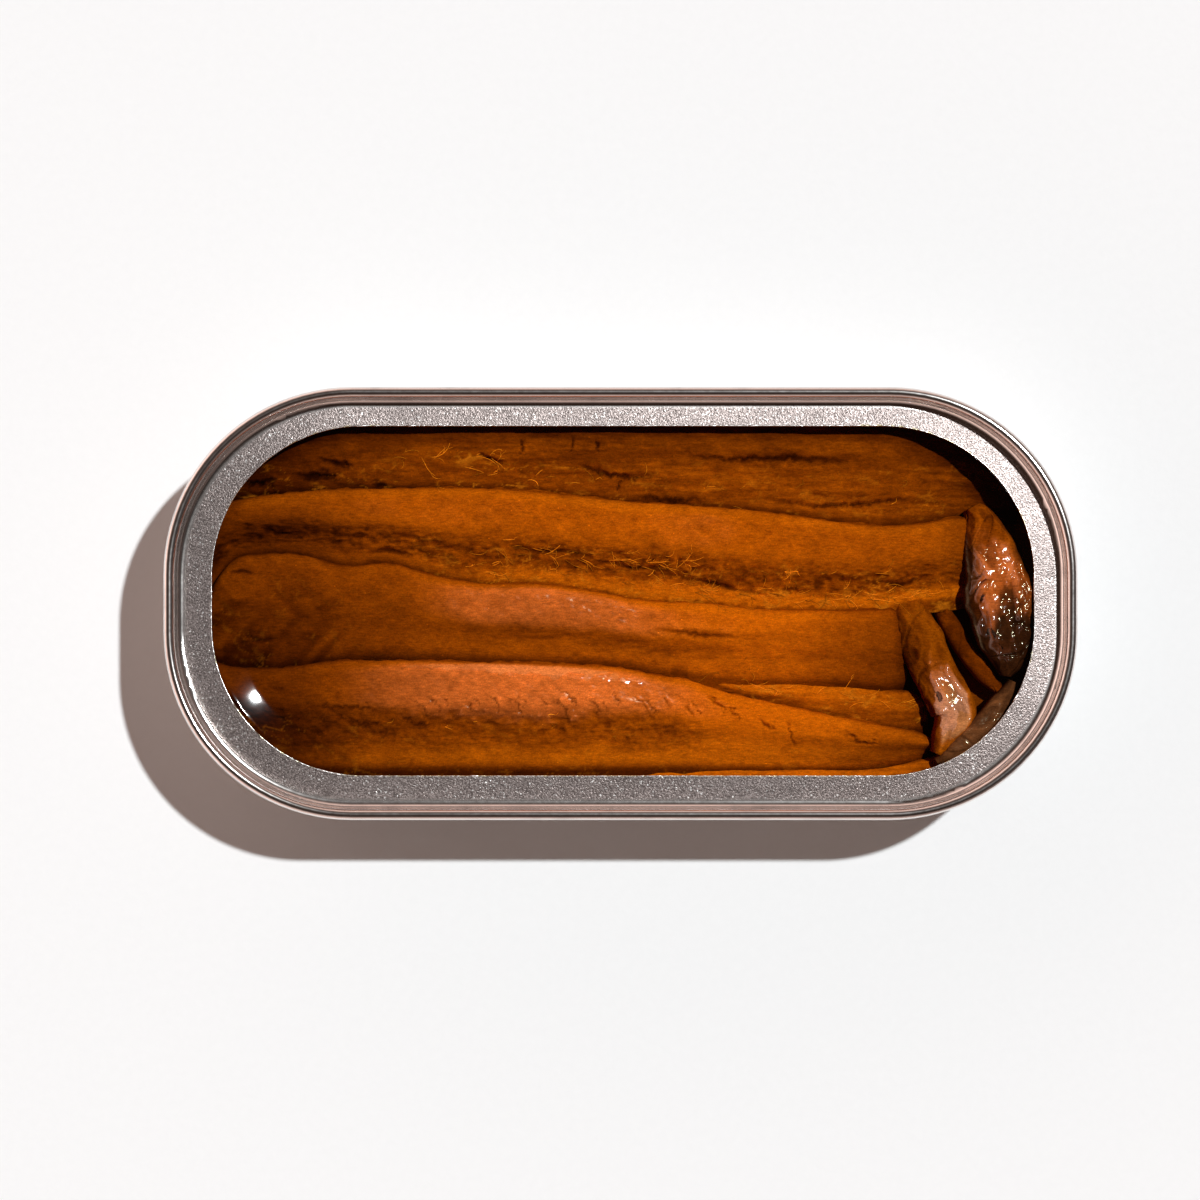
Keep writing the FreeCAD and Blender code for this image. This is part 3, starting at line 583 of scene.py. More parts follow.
def plain_detail(seed, threads_shown):
    def detail(X, Y, D, T):
        dz, shade = flesh(X, Y, seed)
        s = noise(X * 0.18, Y * 2.6, seed + 20)
        shade *= 1 + 0.25 * s + 0.22 * fbm(X * 0.9, Y * 2.2, seed + 30)
        return dz + 0.08 * s, shade, threads_shown * threads(X, Y, seed + 40, -4, 2.8, 0.78)
    return detail


def line(points):
    return lambda x: curve(points, x)


def over_oil(*places):
    """Height of a crest along x, given as (x, height over the oil) places."""
    return lambda x: OIL_LEVEL + curve(places, x)


def falling(amount, start, hollow=0.0, at=0.65, width=0.12):
    return lambda X, T: amount * smooth(start, 1.12, T) ** 1.3 + hollow * bell(T, at, width)


rows = {}
rows["fillet_back"] = row(
    "anchovy_back",
    line([(-52, 24.2), (20, 24.2), (30, 23.6), (36, 21.8), (41, 18.8), (46, 14.6), (48, 12.4)]),
    line(BACK_UPPER), (-50.5, 47.0),
    over_oil((-52, -2.6), (-40, -1.9), (-15, -1.5), (15, -1.6), (35, -2.3), (50, -3.6)),
    falling(0.9, 0.3), back_detail,
    [(-52, 0.20), (-42, 0.20), (-34, 0.34), (-22, 0.62), (-8, 0.60), (8, 0.66), (30, 0.66),
     (38, 0.5), (48, 0.36)])
rows["fillet_upper"] = row(
    "anchovy_upper", line(BACK_UPPER), line(UPPER_MIDDLE),
    (-51.3, 46.0),
    over_oil((-52, -1.9), (-44, -1.1), (-32, -0.40), (-20, -0.35), (0, -0.40), (8, -0.25),
             (20, -0.5), (32, -0.6), (38, -0.9), (46, -1.6)),
    falling(2.2, 0.32, 0.35, 0.68, 0.16), upper_detail,
    [(-52, 0.50), (-42, 0.72), (-32, 0.94), (-22, 1.02), (-10, 1.09), (6, 1.16), (18, 1.10),
     (32, 1.00), (44, 0.70)], right_round=9.0)
rows["fillet_middle"] = row(
    "anchovy_middle", line(UPPER_MIDDLE),
    lambda x: np.where(x < 6, curve(MIDDLE_FRONT, x), curve(MIDDLE_BETWEEN, x)),
    (-51.6, 34.2),
    over_oil((-52, -2.2), (-46, -1.1), (-36, -0.7), (-24, -0.25), (-18, 0.12), (-8, 0.28),
             (0, 0.16), (5, -0.10), (16, -0.4), (26, -0.6), (34, -1.0)),
    falling(1.9, 0.35, 0.25, 0.66, 0.13), middle_detail,
    [(-52, 0.55), (-44, 0.74), (-36, 0.84), (-28, 0.86), (-18, 0.96), (-4, 1.06), (8, 1.34),
     (18, 1.60), (26, 0.92), (33, 0.50)], right_round=3.0)
rows["fillet_between"] = row(
    "anchovy_between", line(MIDDLE_BETWEEN), line(MIDDLE_FRONT),
    (5.0, 36.2),
    over_oil((4, -2.0), (12, -1.7), (25, -1.8), (37, -2.6)),
    falling(0.8, 0.3), plain_detail(510, 0.8),
    [(4, 0.9), (16, 1.25), (26, 1.15), (37, 0.55)], right_round=2.5)
rows["fillet_front"] = row(
    "anchovy_front", line(MIDDLE_FRONT), line(FRONT_EDGE),
    (-50.4, 37.6),
    over_oil((-52, -2.4), (-44, -1.4), (-37, -0.7), (-31, -0.05), (-24, 0.35), (-15, 0.66),
             (-8, 0.60), (0, 0.25), (6, 0.02), (12, -0.25), (20, -0.55), (30, -0.9), (38, -1.6)),
    falling(2.6, 0.28, 0.3, 0.62, 0.14), front_detail,
    [(-52, 0.45), (-44, 0.58), (-36, 0.62), (-29, 0.80), (-20, 1.02), (-6, 1.22), (6, 1.34),
     (16, 1.66), (25, 1.25), (33, 0.82), (38, 0.6)], right_round=4.0)
rows["fillet_edge"] = row(
    "anchovy_edge", line(FRONT_EDGE), lambda x: 0 * x - 24.2, (-47.5, 41.0),
    over_oil((-50, -3.2), (-30, -2.6), (0, -2.3), (25, -2.4), (42, -3.2)),
    falling(0.6, 0.3), plain_detail(610, 0.3),
    [(-50, 0.8), (-30, 1.5), (0, 1.5), (42, 1.1)], under_lap=0.0)


# --- pieces across the right end

def strip(stations, thickness, tone_and_shading, seed, creases, rings=150, around=96, lift=None):
    """A fillet along a free route.  Stations: x, y, height over the oil, half breadth."""
    share = np.linspace(0, 1, rings)
    at = np.linspace(0, 1, len(stations))
    values = np.stack([curve(list(zip(at, column)), share) for column in zip(*stations)], -1)
    centre, half = values[:, :2], np.maximum(values[:, 3:], 0.25)
    tangent = np.gradient(centre, axis=0)
    tangent /= np.linalg.norm(tangent, axis=1)[:, None]
    side = np.stack([-tangent[:, 1], tangent[:, 0]], -1)
    a = np.linspace(0, 2 * pi, around, endpoint=False)
    ca, sa = np.cos(a), np.sin(a)
    wide = np.sign(ca) * np.abs(ca) ** 0.8
    tall = np.where(sa > 0, np.abs(sa) ** 0.85, -np.abs(sa) ** 0.6)
    S = share[:, None] + 0 * a
    A = a + 0 * share[:, None]
    along = np.concatenate([[0], np.cumsum(np.linalg.norm(np.diff(centre, axis=0), axis=1))])
    L = along[:, None] + 0 * a
    U = half * wide
    bent = U + 0.5 * fbm(L * 0.25, U * 0.4 + seed, seed + 2)
    ridges = ridged(L * 0.22 + 0.25 * bent, bent * 0.55 - 0.12 * L + seed, seed + 4, 2)
    fine = fbm(L * 0.9, bent * 1.9, seed + 3)
    rough = creases * (0.55 * (ridges - 0.6) + 0.50 * fbm(L * 0.42, U * 0.6 + seed, seed)
                       + 0.12 * fine)
    folds = ridged(L * 0.30, bent * 0.5 + 0.3 * L, seed + 6, 1)
    groove = creases * 0.30 * smooth(0.82, 0.95, folds)
    # painted shade in the hollows between ridges and in the grooves of the folds
    shade = 1 - 0.35 * smooth(0.55, 0.25, ridges) + 0.18 * fine - 0.9 * groove
    uneven = 1 + 0.06 * noise(L * 0.6, A * 0 + 2, seed + 8)
    X = centre[:, :1] + side[:, :1] * U * uneven
    Y = centre[:, 1:] + side[:, 1:] * U * uneven
    middle = values[:, 2:3] + OIL_LEVEL - thickness * 0.5
    Z = middle + np.where(sa > 0, 0.5, 1.5) * (thickness * tall)
    Z += (rough - groove) * smooth(-0.2, 0.4, tall)
    if lift is not None:
        Z += lift(S, A, U, half)
    Z = np.maximum(Z, 9.9)
    shade *= 1 + 0.18 * fbm(L * 0.6, U * 1.5, seed + 11) + 0.12 * fbm(L * 2.5, U * 4, seed + 12)
    # the given tone, partly the flesh's own and partly painted shading
    shade *= tone_and_shading(S, A, U / half)
    return X, Y, Z, np.clip(shade * (0.4 + 0.6 * ring_shade(X, Y, Z)), 0.03, 1.4)


def finish_strip(name, X, Y, Z, colours):
    # keep it clear of the wall
    gap = inset_of(X, Y, HALF_X, HALF_Y, CORNER) - (WALL + 0.25)
    push = np.maximum(-gap, 0)
    r = np.hypot(X, Y)
    X, Y = X - X / r * push * 1.3, Y - Y / r * push * 1.3
    return make_tube(name, places(X, Y, Z), colours, wetness(Z))


# The folded tail of the second fillet: it turns up and forward along the right wall.
X, Y, Z, shade = strip(
    [(41.6, 11.4, -1.6, 1.0), (42.5, 9.8, -0.55, 2.1), (43.4, 7.0, 0.25, 2.9),
     (44.4, 2.8, 0.75, 3.8), (45.0, -1.2, 0.85, 3.9), (45.5, -4.4, 0.60, 3.2),
     (45.7, -6.8, 0.20, 2.1), (45.5, -8.6, -0.6, 0.7)],
    4.2, lambda s, a, u: 1.0, 710, 1.0, rings=190, around=120,
    lift=lambda s, a, u, half: (0.35 * smooth(0.1, 0.95, u / half) * smooth(0, 0.3, np.sin(a))
                                * bell(s, 0.5, 0.3)))
share = np.linspace(0, 1, 190)[:, None] + 0 * X
ang = np.linspace(0, 2 * pi, 120, endpoint=False)[None] + 0 * X
# dark skin shows on its left flank and towards its front end; the rest is orange flesh
across = np.cos(ang)
patchy = 0.55 * fbm(X * 0.55, Y * 0.40, 731)
skin = np.maximum(smooth(0.25, 0.75, -across + 0.30 * patchy),
                  0.6 * smooth(0.6, 1.0, across + 0.3 * patchy))
skin = np.maximum(skin * smooth(0.12, 0.35, share), smooth(0.40, 0.66, share + 0.35 * patchy))
skin = np.clip(skin + 0.30 * patchy, 0, 1)
flesh_colour = paint(Z, shade * (0.55 + 0.45 * bell(share, 0.38, 0.30)))
skin_colour = np.array([0.040, 0.0120, 0.0045]) * np.clip(shade, 0.4, 1.6)[..., None]
colours = flesh_colour * (1 - 0.95 * skin[..., None]) + skin_colour * 0.95 * skin[..., None]
# a painted grey reflection of the oil's meniscus along the left flank
painted_rim_light = bell(across, -0.93, 0.06) * smooth(0.12, 0.3, share) * smooth(1.0, 0.8, share)
painted_rim_light = painted_rim_light[..., None] * 0.75
colours = colours * (1 - painted_rim_light) + np.array([0.21, 0.150, 0.120]) * painted_rim_light
tail = finish_strip("folded_tail", X, Y, Z, colours)

# a strip across the right end; its left flank, turned from the light, gets painted shade
X, Y, Z, shade = strip(
    [(33.6, 0.3, -2.4, 1.4), (34.3, -1.2, -1.5, 2.1), (35.5, -4.2, -0.9, 2.7),
     (36.8, -7.4, -0.1, 2.75), (38.7, -11.2, 0.75, 2.7), (39.4, -13.2, 0.7, 2.5),
     (38.4, -15.6, 0.2, 1.6), (37.4, -17.8, -0.7, 0.8)],
    4.4, lambda s, a, u: 0.72 + 0.35 * smooth(0.35, 0.6, s) - 0.25 * smooth(0.2, 1.0, -np.cos(a)),
    810, 0.9, rings=180, around=110)
# where it comes out of the oil it turns pale: partly its wet flesh, partly a painted sheen
pale_sheen = smooth(0.42, 0.62, np.linspace(0, 1, 180)[:, None])
colours = paint(Z, shade)
wet_flesh_sheen = np.array([0.47, 0.205, 0.105]) * np.clip(shade, 0.2, 1.4)[..., None]
mix = (pale_sheen * wetness(Z))[..., None] * 0.75
olive = np.array([0.97, 1.07, 1.15])
cross = finish_strip("strip_cross", X, Y, Z, colours * olive * (1 - mix) + wet_flesh_sheen * mix)

X, Y, Z, shade = strip(
    [(37.6, 0.2, -3.4, 0.9), (38.9, -2.2, -2.9, 1.1), (41.0, -5.6, -2.6, 1.2),
     (43.4, -8.6, -2.3, 1.1), (45.0, -10.4, -2.4, 0.6)],
    2.6, lambda s, a, u: 0.38, 910, 0.5, rings=110, around=64)
under = finish_strip("strip_under", X, Y, Z, paint(Z, shade))

X, Y, Z, shade = strip(
    [(46.4, -9.2, -1.2, 0.5), (45.4, -11.4, -0.1, 1.3), (43.4, -13.9, 0.35, 1.5),
     (40.9, -16.2, 0.30, 1.4), (38.6, -17.9, -0.2, 0.8), (37.3, -18.7, -1.2, 0.5)],
    3.0, lambda s, a, u: 0.75, 1010, 0.5, rings=130, around=80)
colours = paint(Z, shade) * 0.25 + np.array([0.17, 0.080, 0.045]) * 0.8 * shade[..., None]
sliver = finish_strip("sliver", X, Y, Z, colours)


# --- what lies beneath

gx = np.arange(-51.2, 51.3, 0.45)
reach = inside_reach(gx, 0.6)
gt = np.linspace(-1, 1, 108)
LX = np.repeat(gx[:, None], len(gt), 1)
LY = reach[:, None] * gt
LZ = 9.1 + 0.55 * np.cos(LY * pi / 5.8) + 0.35 * fbm(LX * 0.25, LY * 0.6, 1100)
LZ = LZ - 1.5 * smooth(0.93, 1.0, np.abs(gt))
shade = 0.40 + 0.12 * fbm(LX * 0.5, LY * 1.2, 1120)
ring_low = places(LX[:, ::-1], LY[:, ::-1], np.full_like(LX, 1.3))[:, ::6]
rings = np.concatenate([places(LX, LY, LZ), ring_low], 1)
colours = np.concatenate([AMBER * shade[..., None], np.zeros_like(ring_low) + DARK], 1)
lower = make_tube("lower_fillets", rings, colours, np.zeros(rings.shape[:2]))


# --- golden fibres

fish = [*rows.values(), tail, cross, under, sliver]


points, polygons = [], []
for piece in fish:
    first = len(points)
    points += [v.co[:] for v in piece.data.vertices]
    polygons += [[first + v for v in p.vertices] for p in piece.data.polygons]
tree = BVHTree.FromPolygons(points, polygons)


def height_at(x, y):
    hit = tree.ray_cast(Vector((x * MM, y * MM, 0.03)), Vector((0, 0, -1)))
    return hit[0].z / MM if hit[0] is not None else 9.0


def fibres(name, zones, seed):
    """Hair-thin golden filaments that lie on the flesh, in small branching tufts.  Each zone is
    (x0, x1, y(x), spread, tufts, longest)."""
    rng = np.random.default_rng(seed)
    points, faces, tones = [], [], []
    sides, count = 4, 9

    def strand(x, y, heading, length, radius, bright):
        start = len(points)
        step = length / (count - 1)
        turn = rng.normal(0, 0.07)
        path = []
        for k in range(count):
            if inset_of(x, y, *TEAR) < 0.4:
                break
            path.append((x, y, heading))
            z = height_at(x, y) + 0.03 + radius * 0.7
            r = radius * (0.30 + 0.70 * sin(pi * (k + 0.6) / (count + 0.2)))
            nx, ny = -sin(heading), cos(heading)
            for w in (2 * pi * q / sides for q in range(sides)):
                points.append((x + nx * r * cos(w), y + ny * r * cos(w), z + r * sin(w)))
            tones.extend([GOLD * bright] * sides)
            x, y = x + step * cos(heading), y + step * sin(heading)
            turn += rng.normal(0, 0.055)
            heading += turn
        made = (len(points) - start) // sides
        if made < 3:
            del points[start:], tones[start:]
            return []
        quad = np.arange(sides)
        faces.extend([start + lattice(made, sides, False), start + quad[None, ::-1],
                      len(points) - sides + quad[None]])
        return path

    for x0, x1, line, spread, tufts, longest in zones:
        for _ in range(tufts):
            x = rng.uniform(x0, x1)
            y = float(line(np.array(x))) + rng.normal(0, spread)
            lie = rng.choice([-0.35, 0.05, 0.3]) + rng.normal(0, 0.3)
            bright = rng.uniform(0.4, 1.5)
            trunk = strand(x, y, lie, longest * rng.uniform(0.35, 1.0),
                           rng.uniform(0.03, 0.055), bright)
            for _ in range(rng.integers(0, 4) if trunk else 0):
                bx, by, bh = trunk[rng.integers(0, len(trunk))]
                strand(bx, by, bh + rng.choice([-1, 1]) * rng.uniform(0.3, 1.1),
                       longest * rng.uniform(0.12, 0.5), rng.uniform(0.022, 0.04), bright * 0.85)
    points = np.array(points)
    return make_mesh(name, points, faces, np.array(tones), wetness(points[:, 2]) * 0.6)


def between(a, b, share):
    return lambda x: curve(a, x) * (1 - share) + curve(b, x) * share


hair = fibres("fibres", [
    (-18, 8, between(BACK_UPPER, UPPER_MIDDLE, 0.64), 0.55, 34, 3.0),
    (8, 36, between(BACK_UPPER, UPPER_MIDDLE, 0.88), 0.5, 46, 2.8),
    (14, 36, between(BACK_UPPER, UPPER_MIDDLE, 0.62), 0.9, 10, 2.0),
    (-20, 8, between(BACK_UPPER, UPPER_MIDDLE, 0.85), 0.5, 16, 2.2),
    (-27, -14, lambda x: 17.2 + 0 * x, 0.4, 10, 3.2),
    (-28, 4, lambda x: 15.0 + 0 * x, 0.8, 12, 1.8),
    (6, 36, lambda x: 14.2 - 0.05 * x, 1.0, 8, 1.6),
    (8, 34, between(MIDDLE_BETWEEN, MIDDLE_FRONT, 0.4), 0.6, 22, 2.4),
    (-30, 20, between(MIDDLE_FRONT, FRONT_EDGE, 0.6), 1.0, 6, 1.2),
], 77)


# --- oil

def oil_height(x, y):
    """Level of the oil: it climbs to the torn edge, and up what stands out of it."""
    s = inset_of(x, y, *TEAR)
    broad, climb, foot = 3.3, 0.247, 0.16
    near = foot + climb * (broad - s) + 0.008 * (broad - s) ** 2
    far = foot * np.exp(-(s - broad) * climb / foot)
    rise = np.where(s < broad, near, far)
    full = foot + climb * broad + 0.008 * broad**2
    rise = np.where(s < 0, full - 0.8 * smooth(0.0, 0.5, -s), rise)
    # a slight swell in the front left corner
    swell = np.exp(-((x + 42.6) ** 2 + (y + 10.7) ** 2) / 36.0)
    rise = rise + (0.0068 * (x + 42.6) - 0.0096 * (y + 10.7)) * swell
    return OIL_LEVEL + np.minimum(rise, TORN_EDGE - 0.01 - OIL_LEVEL)


N_AROUND, N_IN = 900, 110
inner_wall = [size - WALL + 0.06 for size in (HALF_X, HALF_Y, CORNER)]
ox, oy = outline_point(np.arange(N_AROUND) / N_AROUND, *inner_wall)[:2]
inward = 1 - np.linspace(0, 1, N_IN) ** 1.35
OX, OY = ox * inward[:, None], oy * inward[:, None]
OX[-1], OY[-1] = 0, 0
base = oil_height(OX, OY)
hits = np.array([[height_at(a, b) for a, b in zip(ra, rb)] for ra, rb in zip(OX[:-1], OY[:-1])])
hits = np.concatenate([hits, np.full((1, N_AROUND), height_at(0, 0))])
for _ in range(10):
    padded = np.pad(hits, ((0, 0), (1, 1)), mode="wrap")
    hits = (padded[:, :-2] + 2 * hits + padded[:, 2:]) / 4
    padded = np.pad(hits, ((1, 1), (0, 0)), mode="edge")
    hits = (padded[:-2] + 2 * hits + padded[2:]) / 4
# what stands out of the oil wears a thin film of it, a little lumpy, that runs into the rest
film = hits + FILM - base
bare = smooth(-0.1, 0.2, film)
patch = bell(OX, -5.0, 9.0) * bell(OY, -9.2, 1.3)
lumps = 0.024 * fbm(OX * 0.75, OY * 0.9, 1150)
# ripples and beads along the front fillet's crest, and ripples over the pieces at the right end
lumps += 0.10 * patch * np.sin(OX * 2 * pi / 3.4 + 2.5 * noise(OX * 0.3, OY * 0.4, 1155))
lumps += 0.25 * smooth(33, 36, OX) * noise(OX * 0.55, OY * 0.65, 1161)
lumps += 0.008 * noise(OX * 2.1, OY * 2.1, 1157)
OZ = base + PULL * np.log1p(np.exp(np.clip((film + lumps * bare) / PULL, -30, 30)))
# beads along the crest, each with a flat place that leans to the light
beads = np.random.default_rng(1170)
for place in np.linspace(-11.0, 2.4, 9):
    x, y, r = place + beads.uniform(-0.4, 0.4), beads.normal(-9.0, 0.15), beads.uniform(0.20, 0.32)
    r = r * (1 + 0.7 * smooth(-6.5, -2.5, place))
    away = (OX - x) ** 2 + (OY - y) ** 2
    k = np.unravel_index(np.argmin(away), away.shape)
    slope_x = (x - GLINT_AT[0]) / GLINT_REACH + GLINT_SLOPE[0]
    slope_y = (y - GLINT_AT[1]) / GLINT_REACH + GLINT_SLOPE[1]
    leaning = OZ[k] + slope_x * (OX - OX[k]) + slope_y * (OY - OY[k])
    OZ = OZ + (leaning - OZ) * np.exp(-away / (2 * r * r))
# one piece with its skirt along the can's wall and a flat underside
skirt = places(ox * 0.985, oy * 0.985, np.full(N_AROUND, OIL_BOTTOM))[None]
oil = make_tube("oil_fill", np.concatenate([skirt, places(OX, OY, OZ)[:-1]]))


# --- the torn edge's burr

n = 2400
share = np.arange(n) / n
ex, ey, enx, eny = outline_point(share, *TEAR)
lane = share * 330
size = (0.09 + 0.010 * noise(lane * 2.2, lane * 0, 1201)
        + 0.12 * np.clip(noise(lane * 0.5, 0 * lane, 1202) - 0.62, 0, 1))
size = np.clip(size, 0.06, 0.2) + 0.24 * np.exp(-((ex - 43.1) ** 2 + (ey - 14.5) ** 2) / 0.12)
ring = 8
turn = np.linspace(0, 2 * pi, ring, endpoint=False)
out = size[:, None] * np.cos(turn)
up = size[:, None] * 1.1 * np.sin(turn) + 0.008 * noise(lane * 1.3, 0 * lane, 1203)[:, None]
burr_points = places(ex[:, None] + enx[:, None] * out, ey[:, None] + eny[:, None] * out,
                     TORN_EDGE - 0.105 + up).reshape(-1, 3)
burr = make_mesh("torn_edge", burr_points, [lattice(n, ring, True)])


# --- materials

class Nodes:
    """The nodes of a material or of the world."""

    def __init__(self, owner, output="OutputMaterial"):
        owner.use_nodes = True
        self.owner, self.tree = owner, owner.node_tree
        self.tree.nodes.clear()
        self.out = self.add(output)

    def add(self, kind, settings=None, **inputs):
        """A node.  Its inputs go by name, or by number as i0, i1 and so on."""
        node = self.tree.nodes.new("ShaderNode" + kind)
        for key, value in (settings or {}).items():
            setattr(node, key, value)
        for key, value in inputs.items():
            numbered = key[0] == "i" and key[1:].isdigit()
            socket = node.inputs[int(key[1:]) if numbered else key.replace("_", " ")]
            if isinstance(value, bpy.types.NodeSocket):
                self.tree.links.new(value, socket)
            else:
                socket.default_value = value
        return node

    def math(self, operation, a, b=0.0, c=0.0):
        return self.add("Math", {"operation": operation}, i0=a, i1=b, i2=c).outputs[0]

    def times(self, a, b, plus=None):
        if plus is None:
            return self.math("MULTIPLY", a, b)
        return self.math("MULTIPLY_ADD", a, b, plus)

    def ramp(self, value, a, b, low=0.0, high=1.0):
        return self.add("MapRange", {"interpolation_type": "SMOOTHSTEP"}, Value=value,
                        From_Min=a, From_Max=b, To_Min=low, To_Max=high).outputs[0]

    def place(self, scale, turn=0.0):
        scale = scale if isinstance(scale, tuple) else (scale,) * 3
        return self.add("Mapping", Vector=self.add("TexCoord").outputs["Object"], Scale=scale,
                        Rotation=(0, 0, radians(turn))).outputs[0]

    def noise(self, scale, detail, rough, turn=0.0):
        return self.add("TexNoise", Vector=self.place(scale, turn), Scale=1.0, Detail=detail,
                        Roughness=rough).outputs["Fac"]

    def cells(self, scale):
        """Small cells: the distance from a cell's middle, and a number that each cell draws."""
        found = self.add("TexVoronoi", Vector=self.place(scale), Scale=1.0).outputs
        return found["Distance"], self.add("SeparateColor", Color=found["Color"]).outputs[0]

    def mix(self, factor, a, b):
        return self.add("Mix", {"data_type": "RGBA"}, i0=factor, i6=a, i7=b).outputs[2]

    def blend(self, factor, a, b):
        return self.add("Mix", {"data_type": "FLOAT"}, i0=factor, i2=a, i3=b).outputs[0]

    def scaled(self, colour, amount):
        return self.add("VectorMath", {"operation": "SCALE"}, i0=colour, Scale=amount).outputs[0]

    def bump(self, height, strength, distance):
        return self.add("Bump", Strength=strength, Distance=distance, Height=height).outputs[0]

    def finish(self, kind="BsdfPrincipled", **inputs):
        self.tree.links.new(self.add(kind, **inputs).outputs[0], self.out.inputs["Surface"])
        return self.owner


def material(name):
    return Nodes(bpy.data.materials.new(name))


def flesh_material(name, shine, smoothness):
    m = material(name)
    # the vertex colour: the flesh's tone with painted shading in it
    tone_and_shading, wet = (m.add("Attribute", {"attribute_name": layer, "attribute_type": "GEOMETRY"})
                 .outputs[value] for layer, value in (("ToneAndShading", "Color"), ("wet", "Fac")))
    grain = m.noise((1800, 5200, 3000), 4.0, 0.6)
    fine = m.noise(7000, 3.0, 0.6)
    # muscle fibres run aslant across each fillet
    fibre = m.noise((700, 4200, 2500), 3.0, 0.65, turn=33)
    mottle = m.times(m.times(grain, fine), 2.4, 0.02)
    shade = m.scaled(tone_and_shading, m.times(fibre, 0.8, mottle))
    # tiny pale specks
    distance, chance = m.cells(1100)
    speck = m.times(m.ramp(distance, 0.11, 0.04), m.ramp(chance, 0.72, 0.95))
    shade = m.mix(m.times(speck, 0.8), shade, m.scaled(tone_and_shading, 2.6))
    height = m.times(grain, 0.6, m.times(fine, 0.5))
    rough = m.times(fine, 0.08, m.ramp(wet, 0.1, 0.9, 0.5, smoothness))
    return m.finish(Base_Color=shade, Roughness=rough, IOR=1.42,
                    Specular_IOR_Level=m.ramp(wet, 0.0, 1.0, 0.0, shine),
                    Normal=m.bump(height, m.ramp(wet, 0.0, 1.0, 0.35, 0.14), 0.00012))


def oil_material():
    m = material("anchovy_oil")
    # specks break the highlights up, except in the still corner at the front left
    x = m.add("SeparateXYZ", Vector=m.add("TexCoord").outputs["Object"]).outputs[0]
    specks = m.times(m.noise(2300, 2.0, 0.5), m.ramp(x, -0.036, -0.028, 0.0, 0.8))
    bump = m.bump(m.math("ADD", m.noise(260, 2.0, 0.5), specks), 0.05, 0.0002)
    clear = m.add("BsdfTransparent", Color=(0.99, 0.965, 0.80, 1))
    gloss = m.add("BsdfGlossy", Normal=bump, Color=(1, 1, 1, 1), Roughness=0.035)
    fresnel = m.add("Fresnel", Normal=bump, IOR=1.37)
    return m.finish("MixShader", i0=fresnel.outputs[0], i1=clear.outputs[0], i2=gloss.outputs[0])


def ring_material():
    m = material("tin_end_metal")
    # distance inward from the tin's outer outline, in millimetres
    xyz = m.add("SeparateXYZ", Vector=m.add("TexCoord").outputs["Object"]).outputs
    qx = m.math("SUBTRACT", m.math("ABSOLUTE", xyz[0]), (HALF_X - CORNER) * MM)
    qy = m.math("SUBTRACT", m.math("ABSOLUTE", xyz[1]), (HALF_Y - CORNER) * MM)
    px, py = m.math("MAXIMUM", qx), m.math("MAXIMUM", qy)
    far = m.math("SQRT", m.times(px, px, m.times(py, py)))
    inset = m.times(m.math("SUBTRACT", CORNER * MM, far), 1000.0)
    panel = m.ramp(inset, 2.0, 2.5)
    # the panel's grain: tiny crystals, a few painted bright as glints
    grain = m.noise(4800, 2.0, 0.75)
    coarse = m.noise(1500, 3.0, 0.6)
    distance, chance = m.cells(6500)
    dense = m.ramp(m.noise(300, 2.0, 0.5), 0.4, 0.7, 0.0, 0.05)
    painted_glints = m.ramp(m.math("ADD", chance, dense), 0.975, 1.01)
    # the seam's thin drawn lines
    lines = m.add("TexNoise", {"noise_dimensions": "1D"}, W=m.times(inset, 9.0),
                  Scale=1.0, Detail=2.0).outputs["Fac"]
    smudge = m.noise(160, 4.0, 0.6)
    height = m.blend(panel, m.times(lines, 0.7),
                     m.times(distance, 0.12, grain))
    dull = m.times(coarse, 0.08, m.times(smudge, 0.08))
    crystals = m.mix(m.ramp(grain, 0.38, 0.62), (0.155, 0.124, 0.115, 1), (0.37, 0.305, 0.286, 1))
    colour = m.mix(panel, (0.84, 0.775, 0.74, 1), m.mix(painted_glints, crystals, (0.85, 0.81, 0.78, 1)))
    dirty = m.times(m.ramp(smudge, 0.45, 0.75), 0.6)
    # the panel is greasy and half matt, the seam is bright
    return m.finish(Base_Color=m.mix(dirty, colour, m.scaled(colour, 0.62)),
                    Metallic=m.ramp(inset, 2.0, 2.5, 1.0, 0.66),
                    Roughness=m.blend(panel, m.math("ADD", dull, 0.10), m.math("ADD", dull, 0.25)),
                    Normal=m.bump(height, m.blend(panel, 0.04, 0.8), 0.00006))


def body_material():
    m = material("tin_body_metal")
    fine = m.noise((2500, 2500, 300), 3.0, 0.6)
    smudge = m.noise((70, 70, 260), 5.0, 0.6)
    rough = m.times(smudge, 0.10, m.times(fine, 0.12, 0.16))
    colour = m.mix(m.ramp(smudge, 0.2, 0.8), (0.66, 0.63, 0.605, 1), (0.56, 0.532, 0.508, 1))
    colour = m.mix(m.ramp(fine, 0.3, 0.7), colour, (0.50, 0.475, 0.455, 1))
    return m.finish(Base_Color=colour, Roughness=rough, Metallic=1.0,
                    Normal=m.bump(fine, 0.14, 0.00005))


def burr_material():
    m = material("torn_metal")
    fine = m.noise(4000, 3.0, 0.6)
    colour = m.mix(fine, (0.97, 0.94, 0.92, 1), (0.80, 0.76, 0.73, 1))
    return m.finish(Base_Color=colour, Roughness=m.times(fine, 0.2, 0.20), Metallic=1.0,
                    Normal=m.bump(fine, 0.4, 0.00005))


def floor_material():
    m = material("white_paper")
    fibre = m.noise(900, 4.0, 0.7)
    return m.finish(Base_Color=m.mix(fibre, (0.90, 0.90, 0.90, 1), (0.94, 0.94, 0.94, 1)),
                    Roughness=0.9, Specular_IOR_Level=0.1, Normal=m.bump(fibre, 0.12, 0.0002))


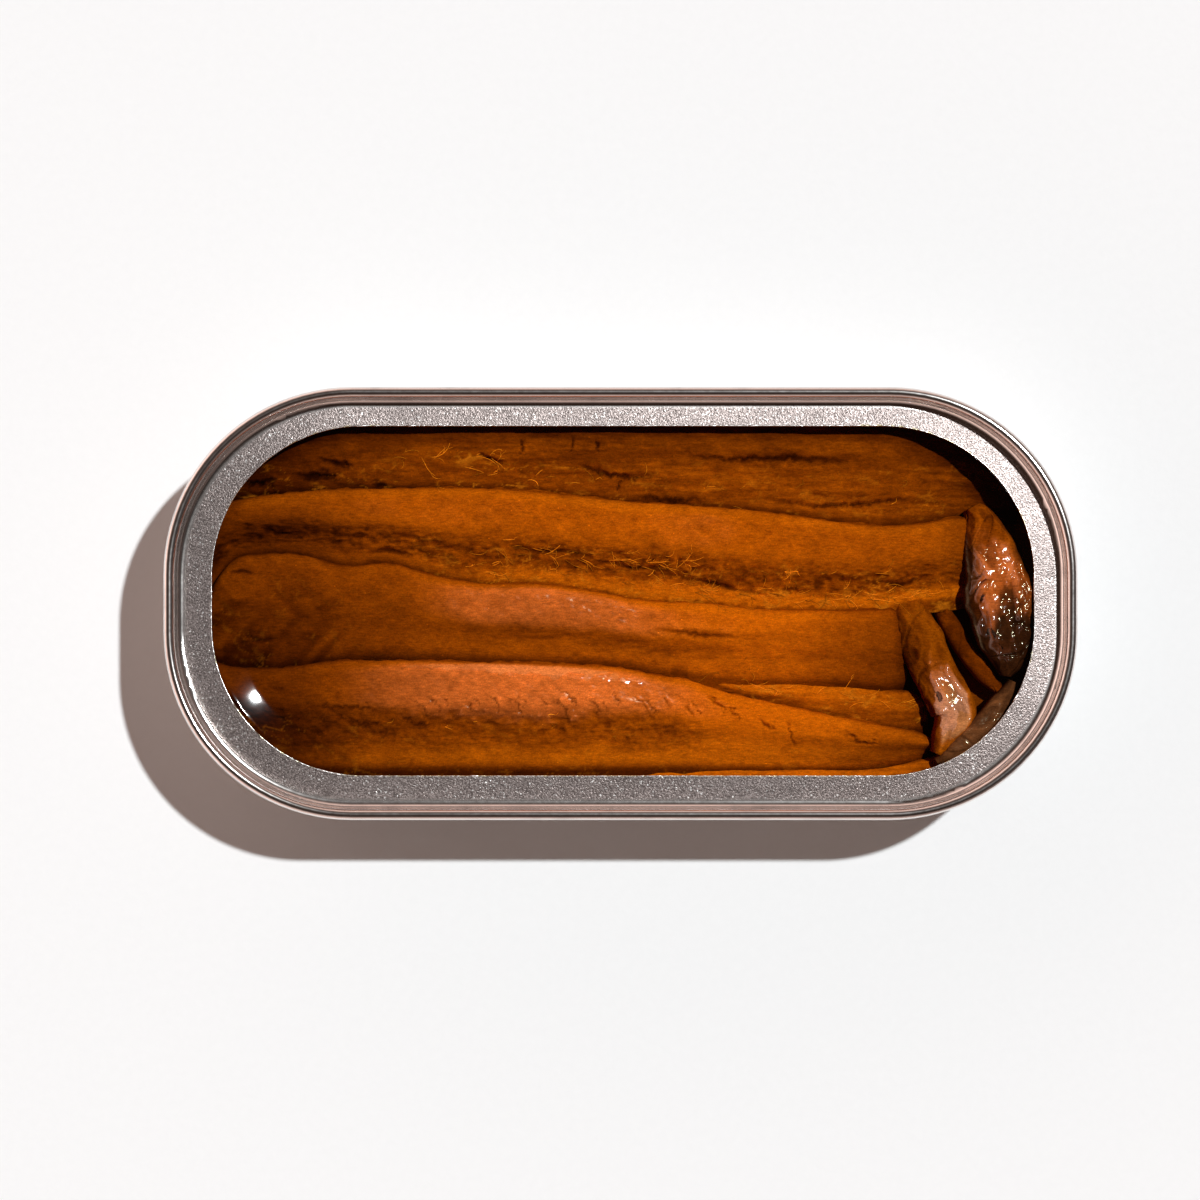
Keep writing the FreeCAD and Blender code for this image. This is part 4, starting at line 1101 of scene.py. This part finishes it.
def dress(piece, look):
    piece.data.materials.clear()
    piece.data.materials.append(look)


plain = flesh_material("anchovy_flesh", 0.12, 0.16)
wetter = flesh_material("anchovy_flesh_wet", 0.7, 0.09)
for piece in [*fish, lower, hair]:
    dress(piece, wetter if piece in (tail, cross, sliver) else plain)
dress(oil, oil_material())
dress(burr, burr_material())
for node, metal in (("can_body", body_material()), ("end_ring", ring_material())):
    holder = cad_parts[node]
    for slot in holder.material_slots:
        slot.material = metal
    if not holder.material_slots:
        holder.data.materials.append(metal)

for name, piece in rows.items():
    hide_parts(name)
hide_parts("fillet_upper")
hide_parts("fillet_cross")
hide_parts("fillet_under")
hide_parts("fillet_sliver")
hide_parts("lower_layer")
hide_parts("oil")
for piece in [*fish, lower, hair, oil, burr]:
    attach(piece, "root")


# --- floor, light, camera

sheet = bpy.data.meshes.new("floor")
sheet.from_pydata([(-3, -3, 0), (3, -3, 0), (3, 3, 0), (-3, 3, 0)], [], [(0, 1, 2, 3)])
floor = placed("floor", sheet)
dress(floor, floor_material())

lamp = bpy.data.lights.new("sun", "SUN")
lamp.energy = 2.99
lamp.color = (0.95, 1.0, 1.02)
lamp.angle = radians(1.6)
sun = placed("sun", lamp)
towards = Vector((cos(SUN_HEIGHT) * cos(SUN_AZIMUTH),
                  cos(SUN_HEIGHT) * sin(SUN_AZIMUTH), sin(SUN_HEIGHT)))
sun.rotation_euler = towards.to_track_quat("Z", "Y").to_euler()

world = bpy.data.worlds.new("room")
bpy.context.scene.world = world
w = Nodes(world, "OutputWorld")
seen = w.add("TexCoord").outputs["Generated"]
above = w.ramp(w.add("SeparateXYZ", i0=seen).outputs[2], 0.20, 0.80)
sky = w.mix(above, (0.77, 0.572, 0.508, 1), (0.030, 0.017, 0.012, 1))
# the left of the room is the lighter side
lean = w.add("VectorMath", {"operation": "DOT_PRODUCT"}, i0=seen, i1=(-0.95, 0.20, 0.0))
w.finish("Background", Color=sky, Strength=w.math("ADD", lean.outputs["Value"], 1.0))

lens = bpy.data.cameras.new("camera")
lens.sensor_width = 36.0
lens.angle = radians(13.34)
lens.clip_end = 20.0
camera = placed("camera", lens)
camera.location = (-0.0024, 0.0004, 0.62)
bpy.context.scene.camera = camera
bpy.context.scene.view_settings.view_transform = "Standard"
